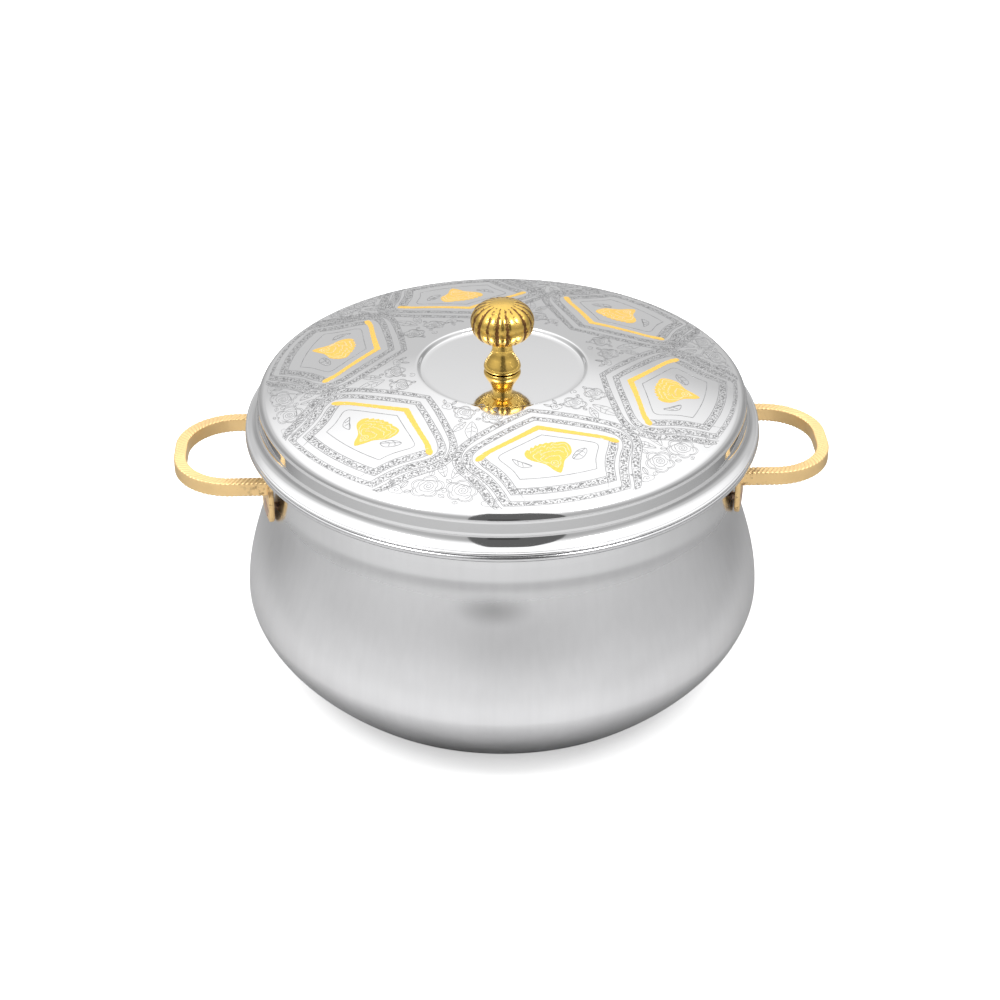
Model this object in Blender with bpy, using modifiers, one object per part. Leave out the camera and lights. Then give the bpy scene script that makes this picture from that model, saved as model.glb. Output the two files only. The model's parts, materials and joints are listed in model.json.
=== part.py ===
"""Insulated chapati casserole: a double-walled steel pot with brass handles and a lift-off lid.

Metres, +Z up. The origin is the centre of the base, on the surface that the pot stands on.
The handles lie along X and the front is -Y. The lid has its own frame, on the pot's rim.
"""
import math

import bmesh
import bpy
import numpy as np
from mathutils import Matrix

# Sheet steel, clearances and fineness
SHEET = 0.0006
GAP = 0.0003
CUT_OVERRUN = 0.002
TURN_STEPS = 36
SMALL_TURN_STEPS = 14
MERGE_DISTANCE = 0.00001
SHARP_ANGLE = math.radians(35)

# Pot: outer shell
RIM_RADIUS = 0.125
RIM_HEIGHT = 0.131
LIP_BEAD_RADIUS = 0.0015
LIP_CURL_END = math.radians(-105)
RIM_COVE_WIDTH = 0.0070
RIM_COVE_HEIGHT = 0.0125
NECK_INSET = 0.0114
NECK_DROP = 0.019
BELLY_RADIUS = 0.128
BELLY_HEIGHT = 0.041
LOWER_EDGE_INSET = 0.0293
LOWER_CURVE_POWER = 1.63
FOOT_BEND_HEIGHT = 0.005
FOOT_BEND_WIDTH = 0.0052
FOOT_RING_WIDTH = 0.0095

# Pot: inner bowl
BOWL_MOUTH_INSET = 0.017
BOWL_MOUTH_BEND = 0.0025
BOWL_MOUTH_DEPTH = 0.026
BOWL_WALL_INSET = 0.017
BOWL_CORNER_RADIUS = 0.030
BOWL_FLOOR_HEIGHT = 0.012

# Pot: base plate
BASE_PLATE_MARGIN = 0.0015
BASE_DISH_INSET = 0.006
BASE_DISH_DEPTH = 0.0015
BASE_DISH_SLOPE = 0.0018

# Handles
HANDLE_PROJECTION = 0.0354
HANDLE_HALF_WIDTH = 0.034
HANDLE_BAR_WIDTH = 0.006
HANDLE_BAR_HEIGHT = 0.0075
HANDLE_TOP_DROP = 0.0145
HANDLE_CORNER_RADIUS = 0.0255
HANDLE_EDGE_RADIUS = 0.0007
HANDLE_CORNER_STEPS = 6
EAR_OFFSET = 0.028
EAR_WIDTH = 0.019
EAR_THICKNESS = 0.0026
EAR_HEIGHT = 0.022
EAR_TOP_DROP = 0.0005
EAR_CORNER_RADIUS = 0.0055
EAR_CORNER_STEPS = 4

# Rivets and their washers
RIVET_ABOVE_EAR_FOOT = 0.0055
RIVET_HEAD_RADIUS = 0.0042
RIVET_HEAD_THICKNESS = 0.0012
RIVET_HEAD_PROUD = 0.0002
RIVET_HEAD_CHAMFER = 0.0003
RIVET_SHANK_RADIUS = 0.002
RIVET_TAIL_RADIUS = 0.0031
RIVET_TAIL_THICKNESS = 0.0011
WASHER_RADIUS = 0.0038
WASHER_THICKNESS = 0.0008

# Lid: heights are above the pot's rim
LID_BRIM_INSET = 0.002
LID_HEM_RADIUS = 0.0012
LID_HEM_LEAF = 0.0028
LID_COVE_RADIUS = 0.0018
LID_SKIRT_INSET = 0.0045
LID_SHOULDER_RADIUS = 0.005
LID_CROWN_RADIUS = 0.540
LID_CROWN_HEIGHT = 0.0287
RECESS_RADIUS = 0.0412
RECESS_DEPTH = 0.002
RECESS_WALL_WIDTH = 0.0014
PLUG_CLEARANCE = 0.0012
PLUG_DEPTH = 0.0085
PLUG_TOP_BEND = 0.002
PLUG_CORNER_RADIUS = 0.004

# Knob and its screw
KNOB_FOOT_RADIUS = 0.0092
KNOB_FOOT_EDGE = 0.0010
KNOB_NECK_RADIUS = 0.0048
KNOB_NECK_HEIGHT = 0.0112
KNOB_COLLAR_RADIUS = 0.0054
KNOB_COLLAR_HEIGHT = 0.0136
KNOB_BALL_RADIUS = 0.01525
KNOB_BALL_HALF_HEIGHT = 0.01065
KNOB_BALL_CENTRE = 0.0249
KNOB_FLUTES = 20
KNOB_STEPS_PER_FLUTE = 3
KNOB_FLUTE_DEPTH = 0.0009
KNOB_FOOT_SHARES = ((0.0, 1.0), (0.20, 0.86), (0.48, 0.50), (0.80, 0.14))
SCREW_RADIUS = 0.002
SCREW_HEAD_RADIUS = 0.004
SCREW_HEAD_HEIGHT = 0.0024
SCREW_REACH = 0.010
SCREW_WASHER_RADIUS = 0.0055
SCREW_WASHER_THICKNESS = 0.001

# Derived sizes and places
NECK_RADIUS = RIM_RADIUS - NECK_INSET
NECK_HEIGHT = RIM_HEIGHT - NECK_DROP
LOWER_EDGE_RADIUS = BELLY_RADIUS - LOWER_EDGE_INSET
FOOT_RADIUS = LOWER_EDGE_RADIUS - FOOT_BEND_WIDTH
BASE_OPENING_RADIUS = FOOT_RADIUS - FOOT_RING_WIDTH
BOWL_MOUTH_RADIUS = RIM_RADIUS - BOWL_MOUTH_INSET
BOWL_WALL_RADIUS = BELLY_RADIUS - BOWL_WALL_INSET
BASE_DISH_RADIUS = BASE_OPENING_RADIUS - BASE_DISH_INSET
HANDLE_REACH = RIM_RADIUS + HANDLE_PROJECTION
HANDLE_TOP_HEIGHT = RIM_HEIGHT - HANDLE_TOP_DROP
EAR_TOP_HEIGHT = HANDLE_TOP_HEIGHT - EAR_TOP_DROP
EAR_BOTTOM_HEIGHT = EAR_TOP_HEIGHT - EAR_HEIGHT
RIVET_HEIGHT = EAR_BOTTOM_HEIGHT + RIVET_ABOVE_EAR_FOOT
LID_BRIM_RADIUS = RIM_RADIUS - LID_BRIM_INSET
LID_SKIRT_RADIUS = LID_BRIM_RADIUS - LID_SKIRT_INSET
PLUG_RADIUS = BOWL_MOUTH_RADIUS - PLUG_CLEARANCE
HALF_STEP_SHARE = math.cos(math.pi / TURN_STEPS)
SHELL_FLANGE_HEIGHT = RIM_HEIGHT - SHEET - GAP - SHEET
SHELL_EDGE_RADIUS = RIM_RADIUS - LIP_BEAD_RADIUS
NECK_TOP_HEIGHT = SHELL_FLANGE_HEIGHT - RIM_COVE_HEIGHT
LID_HEM_HEIGHT = GAP + LID_HEM_RADIUS
LID_HEM_TOP = LID_HEM_HEIGHT + LID_HEM_RADIUS
LID_HEM_CENTRE = LID_BRIM_RADIUS - LID_HEM_RADIUS
RECESS_FLOOR = LID_CROWN_HEIGHT - RECESS_DEPTH
SCREW_HOLE_RADIUS = SCREW_RADIUS + GAP


def empty_scene():
    """Remove every object, so that the model starts in an empty scene."""
    for thing in list(bpy.data.objects):
        bpy.data.objects.remove(thing, do_unlink=True)


def new_collection(name):
    """A collection in the scene."""
    collection = bpy.data.collections.new(name)
    bpy.context.scene.collection.children.link(collection)
    return collection


def new_material(name, colour, roughness, metallic):
    """A Principled material of one colour."""
    material = bpy.data.materials.new(name)
    material.use_nodes = True
    shader = material.node_tree.nodes["Principled BSDF"]
    shader.inputs["Base Color"].default_value = (*colour, 1.0)
    shader.inputs["Roughness"].default_value = roughness
    shader.inputs["Metallic"].default_value = metallic
    material.diffuse_color = (*colour, 1.0)
    return material


def new_object(name, mesh, collection, material=None, parent=None):
    """An object that shows a mesh, in a collection, under a parent."""
    thing = bpy.data.objects.new(name, mesh)
    collection.objects.link(thing)
    thing.parent = parent
    if material:
        mesh.materials.append(material)
    return thing


def new_cutter(name, mesh, collection):
    """An object that only cuts or joins others."""
    thing = new_object(name, mesh, collection)
    thing.hide_render = True
    thing.display_type = "WIRE"
    return thing


def arc(centre, radius, start, end, steps):
    """Points on a circle from one angle to another."""
    angles = np.linspace(start, end, steps + 1)
    return np.stack([centre[0] + radius * np.cos(angles), centre[1] + radius * np.sin(angles)], axis=1)


def wave(start, end, steps):
    """Half a cosine wave between two points (radius, height), upright at both ends."""
    share = np.linspace(0.0, 1.0, steps + 1)
    swing = (1.0 - np.cos(math.pi * share)) / 2.0
    return np.stack([start[0] + (end[0] - start[0]) * swing, start[1] + (end[1] - start[1]) * share], axis=1)


def bend(start, corner, end, steps):
    """A curve from start to end that leaves and arrives in line with the corner point."""
    share = np.linspace(0.0, 1.0, steps + 1)[:, None]
    start, corner, end = np.array(start), np.array(corner), np.array(end)
    return (1.0 - share) ** 2 * start + 2.0 * share * (1.0 - share) * corner + share ** 2 * end


def offset_line(points, distance):
    """A line moved square to itself, to the right of its travel, by a distance."""
    points = np.asarray(points, dtype=float)
    steps = np.diff(points, axis=0)
    steps /= np.linalg.norm(steps, axis=1)[:, None]
    before = np.vstack([steps[:1], steps])
    after = np.vstack([steps, steps[-1:]])
    square_before = np.stack([before[:, 1], -before[:, 0]], axis=1)
    square_after = np.stack([after[:, 1], -after[:, 0]], axis=1)
    mitre = square_before + square_after
    mitre /= np.sum(mitre * square_before, axis=1)[:, None]
    return points + mitre * distance


def join_lines(*lines):
    """One line from several, without points that repeat."""
    points = np.vstack([np.atleast_2d(line) for line in lines])
    keep = np.ones(len(points), dtype=bool)
    keep[1:] = np.linalg.norm(np.diff(points, axis=0), axis=1) > MERGE_DISTANCE
    return points[keep]


def turned(name, line, collection, material=None, parent=None, wall=None, closed=False, steps=TURN_STEPS):
    """A turned piece: a line (radius, height) under a Screw, with a wall from Solidify if given.

    The line has the piece's outer face on its left, so it runs down an outer side.
    """
    mesh = bpy.data.meshes.new(name)
    points = [(radius, 0.0, height) for radius, height in line]
    edges = [(i, i + 1) for i in range(len(points) - 1)]
    if closed:
        edges.append((len(points) - 1, 0))
    mesh.from_pydata(points, edges, [])
    thing = new_object(name, mesh, collection, material, parent)
    screw = thing.modifiers.new("Turn", "SCREW")
    screw.axis = "Z"
    screw.angle = 2.0 * math.pi
    screw.steps = steps
    screw.render_steps = steps
    screw.use_merge_vertices = True
    screw.merge_threshold = MERGE_DISTANCE
    screw.use_smooth_shade = True
    if wall:
        solidify = thing.modifiers.new("Wall", "SOLIDIFY")
        solidify.thickness = wall
        solidify.offset = -1.0
        solidify.use_even_offset = True
    return thing


def cut(thing, cutter, operation="DIFFERENCE", solver="EXACT"):
    """Cut a piece with a cutter, or join them."""
    modifier = thing.modifiers.new(operation.title() + " " + cutter.name, "BOOLEAN")
    modifier.operation = operation
    modifier.solver = solver
    modifier.object = cutter


def evaluated_mesh(thing, name):
    """A new mesh of the object as its modifiers leave it."""
    bpy.context.view_layer.update()
    graph = bpy.context.evaluated_depsgraph_get()
    mesh = bpy.data.meshes.new_from_object(thing.evaluated_get(graph))
    mesh.name = name
    return mesh


def radial_pegs(name, radius, inner, outer, azimuths, height, collection):
    """One cutter of several round pegs that point out from the pot's axis."""
    shape = bmesh.new()
    for azimuth in azimuths:
        place = (Matrix.Rotation(azimuth, 4, "Z") @ Matrix.Translation(((inner + outer) / 2, 0.0, height))
                 @ Matrix.Rotation(math.pi / 2, 4, "Y"))
        bmesh.ops.create_cone(shape, cap_ends=True, segments=SMALL_TURN_STEPS, radius1=radius,
                              radius2=radius, depth=outer - inner, matrix=place)
    mesh = bpy.data.meshes.new(name)
    shape.to_mesh(mesh)
    shape.free()
    return new_cutter(name, mesh, collection)


def shell_radius(height):
    """The outer shell's radius between its belly and its neck, half a cosine wave."""
    share = min(max((height - BELLY_HEIGHT) / (NECK_HEIGHT - BELLY_HEIGHT), 0.0), 1.0)
    return BELLY_RADIUS + (NECK_RADIUS - BELLY_RADIUS) * (1.0 - math.cos(math.pi * share)) / 2.0


def lower_radius(height):
    """The outer shell's radius below its belly: a drop that grows with a power of the depth."""
    share = 1.0 - height / BELLY_HEIGHT
    return BELLY_RADIUS - (BELLY_RADIUS - LOWER_EDGE_RADIUS) * share ** LOWER_CURVE_POWER


def shell_lines():
    """The outer shell's visible side in three lines: under the rim, the wall, and the foot."""
    cove_centre = (NECK_RADIUS + RIM_COVE_WIDTH, NECK_TOP_HEIGHT)
    angles = np.linspace(math.pi / 2, math.pi, 4)
    cove = np.stack([cove_centre[0] + RIM_COVE_WIDTH * np.cos(angles),
                     cove_centre[1] + RIM_COVE_HEIGHT * np.sin(angles)], axis=1)
    rim = join_lines([(SHELL_EDGE_RADIUS, SHELL_FLANGE_HEIGHT)], cove)
    upper = wave((NECK_RADIUS, NECK_HEIGHT), (BELLY_RADIUS, BELLY_HEIGHT), 5)
    heights = np.linspace(BELLY_HEIGHT, FOOT_BEND_HEIGHT, 4)[1:]
    lower = np.array([(lower_radius(height), height) for height in heights])
    slope = (LOWER_CURVE_POWER * (BELLY_RADIUS - LOWER_EDGE_RADIUS) / BELLY_HEIGHT
             * (1.0 - FOOT_BEND_HEIGHT / BELLY_HEIGHT) ** (LOWER_CURVE_POWER - 1.0))
    corner = (lower_radius(FOOT_BEND_HEIGHT) - FOOT_BEND_HEIGHT * slope, 0.0)
    foot = bend(lower[-1], corner, (FOOT_RADIUS, 0.0), 2)
    return rim, join_lines(upper, lower), foot


def bowl_lines():
    """The inner bowl's visible side in two lines: the inside up to its mouth, and the rim."""
    floor = [(0.0, BOWL_FLOOR_HEIGHT)]
    corner_centre = (BOWL_WALL_RADIUS - BOWL_CORNER_RADIUS, BOWL_FLOOR_HEIGHT + BOWL_CORNER_RADIUS)
    corner = arc(corner_centre, BOWL_CORNER_RADIUS, -math.pi / 2, 0.0, 4)
    wall = wave(corner[-1], (BOWL_MOUTH_RADIUS, RIM_HEIGHT - BOWL_MOUTH_DEPTH), 2)
    mouth = [(BOWL_MOUTH_RADIUS, RIM_HEIGHT - BOWL_MOUTH_BEND)]
    mouth_centre = (BOWL_MOUTH_RADIUS + BOWL_MOUTH_BEND, RIM_HEIGHT - BOWL_MOUTH_BEND)
    roll = arc(mouth_centre, BOWL_MOUTH_BEND, math.pi, math.pi / 2, 2)
    bead_centre = (RIM_RADIUS - LIP_BEAD_RADIUS, RIM_HEIGHT - LIP_BEAD_RADIUS)
    curl = arc(bead_centre, LIP_BEAD_RADIUS, math.pi / 2, LIP_CURL_END, 5)
    return join_lines(floor, corner, wall, mouth), join_lines(roll, curl)


def base_line():
    """The base plate's underside, from its edge to its centre."""
    height = SHEET + GAP
    return join_lines([(FOOT_RADIUS - BASE_PLATE_MARGIN, height),
                       (BASE_DISH_RADIUS + BASE_DISH_SLOPE, height),
                       (BASE_DISH_RADIUS, height + BASE_DISH_DEPTH),
                       (0.0, height + BASE_DISH_DEPTH)])


def ear_back_distance():
    """How far the ears' flat backs stand from the pot's axis: they touch the shell's widest part there."""
    return max(shell_radius(EAR_BOTTOM_HEIGHT), NECK_RADIUS) + GAP


def ear_azimuth():
    """The direction that an ear faces, from the X axis."""
    return math.asin(EAR_OFFSET / (ear_back_distance() + EAR_THICKNESS))


def rivet_azimuths():
    """Name and direction of each rivet, from +X round to -X."""
    ear = ear_azimuth()
    return {"right_front": -ear, "right_back": ear, "left_back": math.pi - ear, "left_front": math.pi + ear}


def washer_face_distance():
    """How far the outer face of a rivet's washer is from the pot's axis, clear of the sloping shell."""
    narrow = min(shell_radius(RIVET_HEIGHT + WASHER_RADIUS), shell_radius(RIVET_HEIGHT - WASHER_RADIUS))
    return (narrow - SHEET) * HALF_STEP_SHARE - GAP


def rivet_tail_end():
    """How far the end of a rivet's tail is from the pot's axis."""
    return washer_face_distance() - WASHER_THICKNESS - GAP - RIVET_TAIL_THICKNESS


def build_pot(parts, cutters, materials, pot):
    """The outer shell, the inner bowl, the insulation between them and the base plate."""
    rim, wall, foot = shell_lines()
    shell_line = join_lines(rim, wall, foot, [(BASE_OPENING_RADIUS, 0.0)])
    azimuths = rivet_azimuths().values()
    shell = turned("outer_shell", shell_line, parts, materials["satin_steel"], pot, wall=SHEET)
    holes = radial_pegs("rivet_hole_cutter", RIVET_SHANK_RADIUS + GAP, washer_face_distance() - CUT_OVERRUN,
                        shell_radius(RIVET_HEIGHT) + CUT_OVERRUN, azimuths, RIVET_HEIGHT, cutters)
    cut(shell, holes)

    inside, bowl_rim = bowl_lines()
    turned("inner_bowl", join_lines(inside, bowl_rim), parts, materials["bright_steel"], pot, wall=SHEET)
    turned("base_plate", base_line(), parts, materials["bright_steel"], pot, wall=SHEET)

    clear = SHEET + GAP
    bowl_side = offset_line(inside, clear)
    shell_side = offset_line(join_lines(rim[-1:], wall, foot[:2]), clear)
    base_side = offset_line(base_line(), clear)
    bowl_side[0, 0] = 0.0
    base_side[-1, 0] = 0.0
    foam = turned("wall_insulation", join_lines(bowl_side, shell_side, base_side), parts,
                  materials["foam"], pot)
    pockets = radial_pegs("rivet_pocket_cutter", WASHER_RADIUS + GAP, rivet_tail_end() - GAP,
                          shell_radius(RIVET_HEIGHT) + CUT_OVERRUN, azimuths, RIVET_HEIGHT, cutters)
    cut(foam, pockets)


def handle_outline():
    """The loop of one handle seen from above: a band of even width with two round corners."""
    mid_distance = ear_back_distance() + EAR_THICKNESS / 2
    leg_centre = HANDLE_HALF_WIDTH - HANDLE_BAR_WIDTH / 2
    azimuth = ear_azimuth()
    leg_end = (mid_distance - leg_centre * math.sin(azimuth)) / math.cos(azimuth)
    centre = (HANDLE_REACH - HANDLE_CORNER_RADIUS, HANDLE_HALF_WIDTH - HANDLE_CORNER_RADIUS)
    inner_half_width = HANDLE_HALF_WIDTH - HANDLE_BAR_WIDTH
    outer = arc(centre, HANDLE_CORNER_RADIUS, math.pi / 2, 0.0, HANDLE_CORNER_STEPS)
    inner = arc(centre, HANDLE_CORNER_RADIUS - HANDLE_BAR_WIDTH, 0.0, math.pi / 2, HANDLE_CORNER_STEPS)
    mirror = np.array([1.0, -1.0])
    return join_lines([(leg_end, HANDLE_HALF_WIDTH)], outer, outer[::-1] * mirror,
                      [(leg_end, -HANDLE_HALF_WIDTH)], [(leg_end, -inner_half_width)],
                      inner[::-1] * mirror, inner, [(leg_end, inner_half_width)])


def flat_piece(name, outline, thickness, collection):
    """A closed piece from a flat outline: a filled 2D curve with an extrude, made a mesh."""
    curve = bpy.data.curves.new(name, "CURVE")
    curve.dimensions = "2D"
    curve.fill_mode = "BOTH"
    curve.extrude = thickness / 2
    spline = curve.splines.new("POLY")
    spline.points.add(len(outline) - 1)
    for point, place in zip(spline.points, outline):
        point.co = (place[0], place[1], 0.0, 1.0)
    spline.use_cyclic_u = True
    drawn = bpy.data.objects.new(name + "_outline", curve)
    collection.objects.link(drawn)
    mesh = evaluated_mesh(drawn, name)
    bpy.data.objects.remove(drawn)
    shape = bmesh.new()
    shape.from_mesh(mesh)
    bmesh.ops.remove_doubles(shape, verts=shape.verts, dist=MERGE_DISTANCE)
    bmesh.ops.recalc_face_normals(shape, faces=shape.faces)
    shape.to_mesh(mesh)
    shape.free()
    return mesh


def ear_outline():
    """An ear seen square on: its width across, its height up, with round corners at its foot."""
    half = EAR_WIDTH / 2
    top = EAR_TOP_HEIGHT
    low = EAR_BOTTOM_HEIGHT + EAR_CORNER_RADIUS
    side = half - EAR_CORNER_RADIUS
    right = arc((side, low), EAR_CORNER_RADIUS, 0.0, -math.pi / 2, EAR_CORNER_STEPS)
    left = right[::-1] * np.array([-1.0, 1.0])
    return join_lines([(half, top)], right, left, [(-half, top)])


def ears_mesh(cutters):
    """Both ears of the handle at +X, stood up and turned to face out from the pot's axis."""
    outline_mesh = flat_piece("ear", ear_outline(), EAR_THICKNESS, cutters)
    distance = ear_back_distance() + EAR_THICKNESS / 2
    stand_up = Matrix.Rotation(math.pi / 2, 4, "Z") @ Matrix.Rotation(math.pi / 2, 4, "X")
    shape = bmesh.new()
    for azimuth in (-ear_azimuth(), ear_azimuth()):
        one = outline_mesh.copy()
        one.transform(Matrix.Rotation(azimuth, 4, "Z") @ Matrix.Translation((distance, 0.0, 0.0)) @ stand_up)
        shape.from_mesh(one)
        bpy.data.meshes.remove(one)
    mesh = bpy.data.meshes.new("handle_ears")
    shape.to_mesh(mesh)
    shape.free()
    return mesh


def add_bevel(thing, width, segments):
    """Round a piece's sharp edges."""
    bevel = thing.modifiers.new("Edges", "BEVEL")
    bevel.width = width
    bevel.segments = segments
    bevel.limit_method = "ANGLE"
    bevel.angle_limit = SHARP_ANGLE


def handle_mesh(cutters):
    """One handle at +X: a loop of flat bar whose legs end in two riveted ears."""
    loop = new_object("handle_loop", flat_piece("handle_loop", handle_outline(), HANDLE_BAR_HEIGHT, cutters),
                      cutters)
    loop.location.z = HANDLE_TOP_HEIGHT - HANDLE_BAR_HEIGHT / 2
    add_bevel(loop, HANDLE_EDGE_RADIUS, 1)
    ears = new_object("handle_ears", ears_mesh(cutters), cutters)
    add_bevel(ears, HANDLE_EDGE_RADIUS, 1)
    # The exact solver drops the bevelled loop here, so the manifold one joins them
    cut(loop, ears, "UNION", "MANIFOLD")
    azimuths = (-ear_azimuth(), ear_azimuth())
    face = ear_back_distance() + EAR_THICKNESS
    head_seat = face + RIVET_HEAD_PROUD - RIVET_HEAD_THICKNESS - GAP
    shank_hole = radial_pegs("ear_hole_cutter", RIVET_SHANK_RADIUS + GAP, ear_back_distance() - CUT_OVERRUN,
                             face + CUT_OVERRUN, azimuths, RIVET_HEIGHT, cutters)
    head_hole = radial_pegs("ear_recess_cutter", RIVET_HEAD_RADIUS + GAP, head_seat, face + CUT_OVERRUN,
                            azimuths, RIVET_HEIGHT, cutters)
    cut(loop, shank_hole)
    cut(loop, head_hole)
    mesh = evaluated_mesh(loop, "handle")
    mesh.transform(loop.matrix_world)
    for used in (loop, ears, shank_hole, head_hole):
        bpy.data.objects.remove(used)
    return mesh


def build_handles(parts, cutters, materials, pot):
    """Two handles, the second turned half way round."""
    mesh = handle_mesh(cutters)
    mesh.shade_smooth()
    mesh.set_sharp_from_angle(angle=SHARP_ANGLE)
    right = new_object("handle_right", mesh, parts, materials["brass"], pot)
    left = new_object("handle_left", mesh.copy(), parts, None, pot)
    left.rotation_euler.z = math.pi
    return right, left


def build_rivets(parts, materials, pot):
    """Four rivets, each with a washer inside the shell, on axes that point out from the pot's centre."""
    head_top = ear_back_distance() + EAR_THICKNESS + RIVET_HEAD_PROUD
    head_under = head_top - RIVET_HEAD_THICKNESS
    washer_face = washer_face_distance()
    tail_top = washer_face - WASHER_THICKNESS - GAP
    tail_end = rivet_tail_end()
    rivet_line = [(0.0, head_top), (RIVET_HEAD_RADIUS - RIVET_HEAD_CHAMFER, head_top),
                  (RIVET_HEAD_RADIUS, head_top - RIVET_HEAD_CHAMFER), (RIVET_HEAD_RADIUS, head_under),
                  (RIVET_SHANK_RADIUS, head_under), (RIVET_SHANK_RADIUS, tail_top),
                  (RIVET_TAIL_RADIUS, tail_top), (RIVET_SHANK_RADIUS, tail_end), (0.0, tail_end)]
    bore = RIVET_SHANK_RADIUS + GAP
    washer_line = [(bore, washer_face), (WASHER_RADIUS, washer_face),
                   (WASHER_RADIUS, washer_face - WASHER_THICKNESS), (bore, washer_face - WASHER_THICKNESS)]
    for place, azimuth in rivet_azimuths().items():
        rivet = turned("rivet_" + place, rivet_line, parts, materials["copper_brass"], pot,
                       steps=SMALL_TURN_STEPS)
        washer = turned("rivet_washer_" + place, washer_line, parts, materials["bright_steel"], pot,
                        closed=True, steps=SMALL_TURN_STEPS)
        for piece in (rivet, washer):
            piece.location.z = RIVET_HEIGHT
            piece.rotation_euler = (0.0, math.pi / 2, azimuth)


def dome_height(radius):
    """The lid's height above the rim at a radius: a wide sphere that passes the recess's edge."""
    sphere = LID_CROWN_RADIUS ** 2
    return LID_CROWN_HEIGHT + math.sqrt(sphere - radius ** 2) - math.sqrt(sphere - RECESS_RADIUS ** 2)


def cover_lines():
    """The lid cover's visible side in two lines: the recess and dome down the skirt, and the brim."""
    recess = [(SCREW_HOLE_RADIUS, RECESS_FLOOR), (RECESS_RADIUS - RECESS_WALL_WIDTH, RECESS_FLOOR)]
    shoulder_centre_radius = LID_SKIRT_RADIUS - LID_SHOULDER_RADIUS
    tangent_radius = shoulder_centre_radius / (1.0 - LID_SHOULDER_RADIUS / LID_CROWN_RADIUS)
    tilt = math.asin(tangent_radius / LID_CROWN_RADIUS)
    shoulder_centre = (shoulder_centre_radius,
                       dome_height(tangent_radius) - LID_SHOULDER_RADIUS * math.cos(tilt))
    dome = [(radius, dome_height(radius)) for radius in np.linspace(RECESS_RADIUS, tangent_radius, 4)]
    shoulder = arc(shoulder_centre, LID_SHOULDER_RADIUS, math.pi / 2 - tilt, 0.0, 3)
    skirt_foot = (LID_SKIRT_RADIUS, LID_HEM_TOP + LID_COVE_RADIUS)
    cove_centre = (LID_SKIRT_RADIUS + LID_COVE_RADIUS, LID_HEM_TOP + LID_COVE_RADIUS)
    cove = arc(cove_centre, LID_COVE_RADIUS, math.pi, 1.5 * math.pi, 2)
    hem = arc((LID_HEM_CENTRE, LID_HEM_HEIGHT), LID_HEM_RADIUS, math.pi / 2, -math.pi / 2, 4)
    leaf = [(LID_HEM_CENTRE - LID_HEM_LEAF, GAP)]
    return join_lines(recess, dome, shoulder, [skirt_foot]), join_lines(cove, hem, leaf)


def liner_line():
    """The lid liner's underside: a flange in the hem, the plug's wall and its flat floor."""
    flange = GAP + SHEET + GAP
    edge = [(LID_HEM_CENTRE - GAP, flange)]
    top = arc((PLUG_RADIUS + PLUG_TOP_BEND, flange - PLUG_TOP_BEND), PLUG_TOP_BEND,
              math.pi / 2, math.pi, 2)
    corner_centre = (PLUG_RADIUS - PLUG_CORNER_RADIUS, PLUG_CORNER_RADIUS - PLUG_DEPTH)
    corner = arc(corner_centre, PLUG_CORNER_RADIUS, 0.0, -math.pi / 2, 2)
    return join_lines(edge, top, corner, [(0.0, -PLUG_DEPTH)])


def build_lid(parts, materials, lid):
    """The engraved cover, the liner that closes it below, and the insulation between them."""
    top, brim = cover_lines()
    turned("lid_cover", join_lines(top, brim), parts, materials["mirror_steel"], lid, wall=SHEET)
    turned("lid_liner", liner_line(), parts, materials["bright_steel"], lid, wall=SHEET)

    clear = SHEET + GAP
    under = offset_line(top, clear)
    pocket_radius = SCREW_WASHER_RADIUS + GAP
    pocket_floor = (RECESS_FLOOR - SHEET - GAP - SCREW_WASHER_THICKNESS - GAP - SCREW_HEAD_HEIGHT - GAP)
    under[0] = (pocket_radius, RECESS_FLOOR - clear)
    pocket = [(0.0, pocket_floor), (pocket_radius, pocket_floor)]
    over = offset_line(liner_line(), clear)
    over[0] = (LID_SKIRT_RADIUS - clear, over[0][1])
    over[-1, 0] = 0.0
    turned("lid_insulation", join_lines(pocket, under, over), parts, materials["foam"], lid)


def knob_line():
    """The knob's side from the top of its ball to the edge of its bell foot."""
    meet = (KNOB_COLLAR_RADIUS / KNOB_BALL_RADIUS)
    lowest = -math.asin(math.sqrt(1.0 - meet ** 2))
    ball = arc((0.0, 0.0), 1.0, math.pi / 2, lowest, 8) * (KNOB_BALL_RADIUS, KNOB_BALL_HALF_HEIGHT)
    ball[0, 0] = 0.0
    ball[:, 1] += KNOB_BALL_CENTRE
    collar = [(KNOB_COLLAR_RADIUS, KNOB_COLLAR_HEIGHT)]
    neck = [(KNOB_NECK_RADIUS, KNOB_NECK_HEIGHT)]
    spread = KNOB_FOOT_RADIUS - KNOB_NECK_RADIUS
    rise = KNOB_NECK_HEIGHT - KNOB_FOOT_EDGE
    bell = [(KNOB_NECK_RADIUS + spread * wide, KNOB_FOOT_EDGE + rise * high)
            for high, wide in reversed(KNOB_FOOT_SHARES)]
    return join_lines(ball, collar, neck, bell, [(KNOB_FOOT_RADIUS, GAP)], [(0.0, GAP)])


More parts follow.
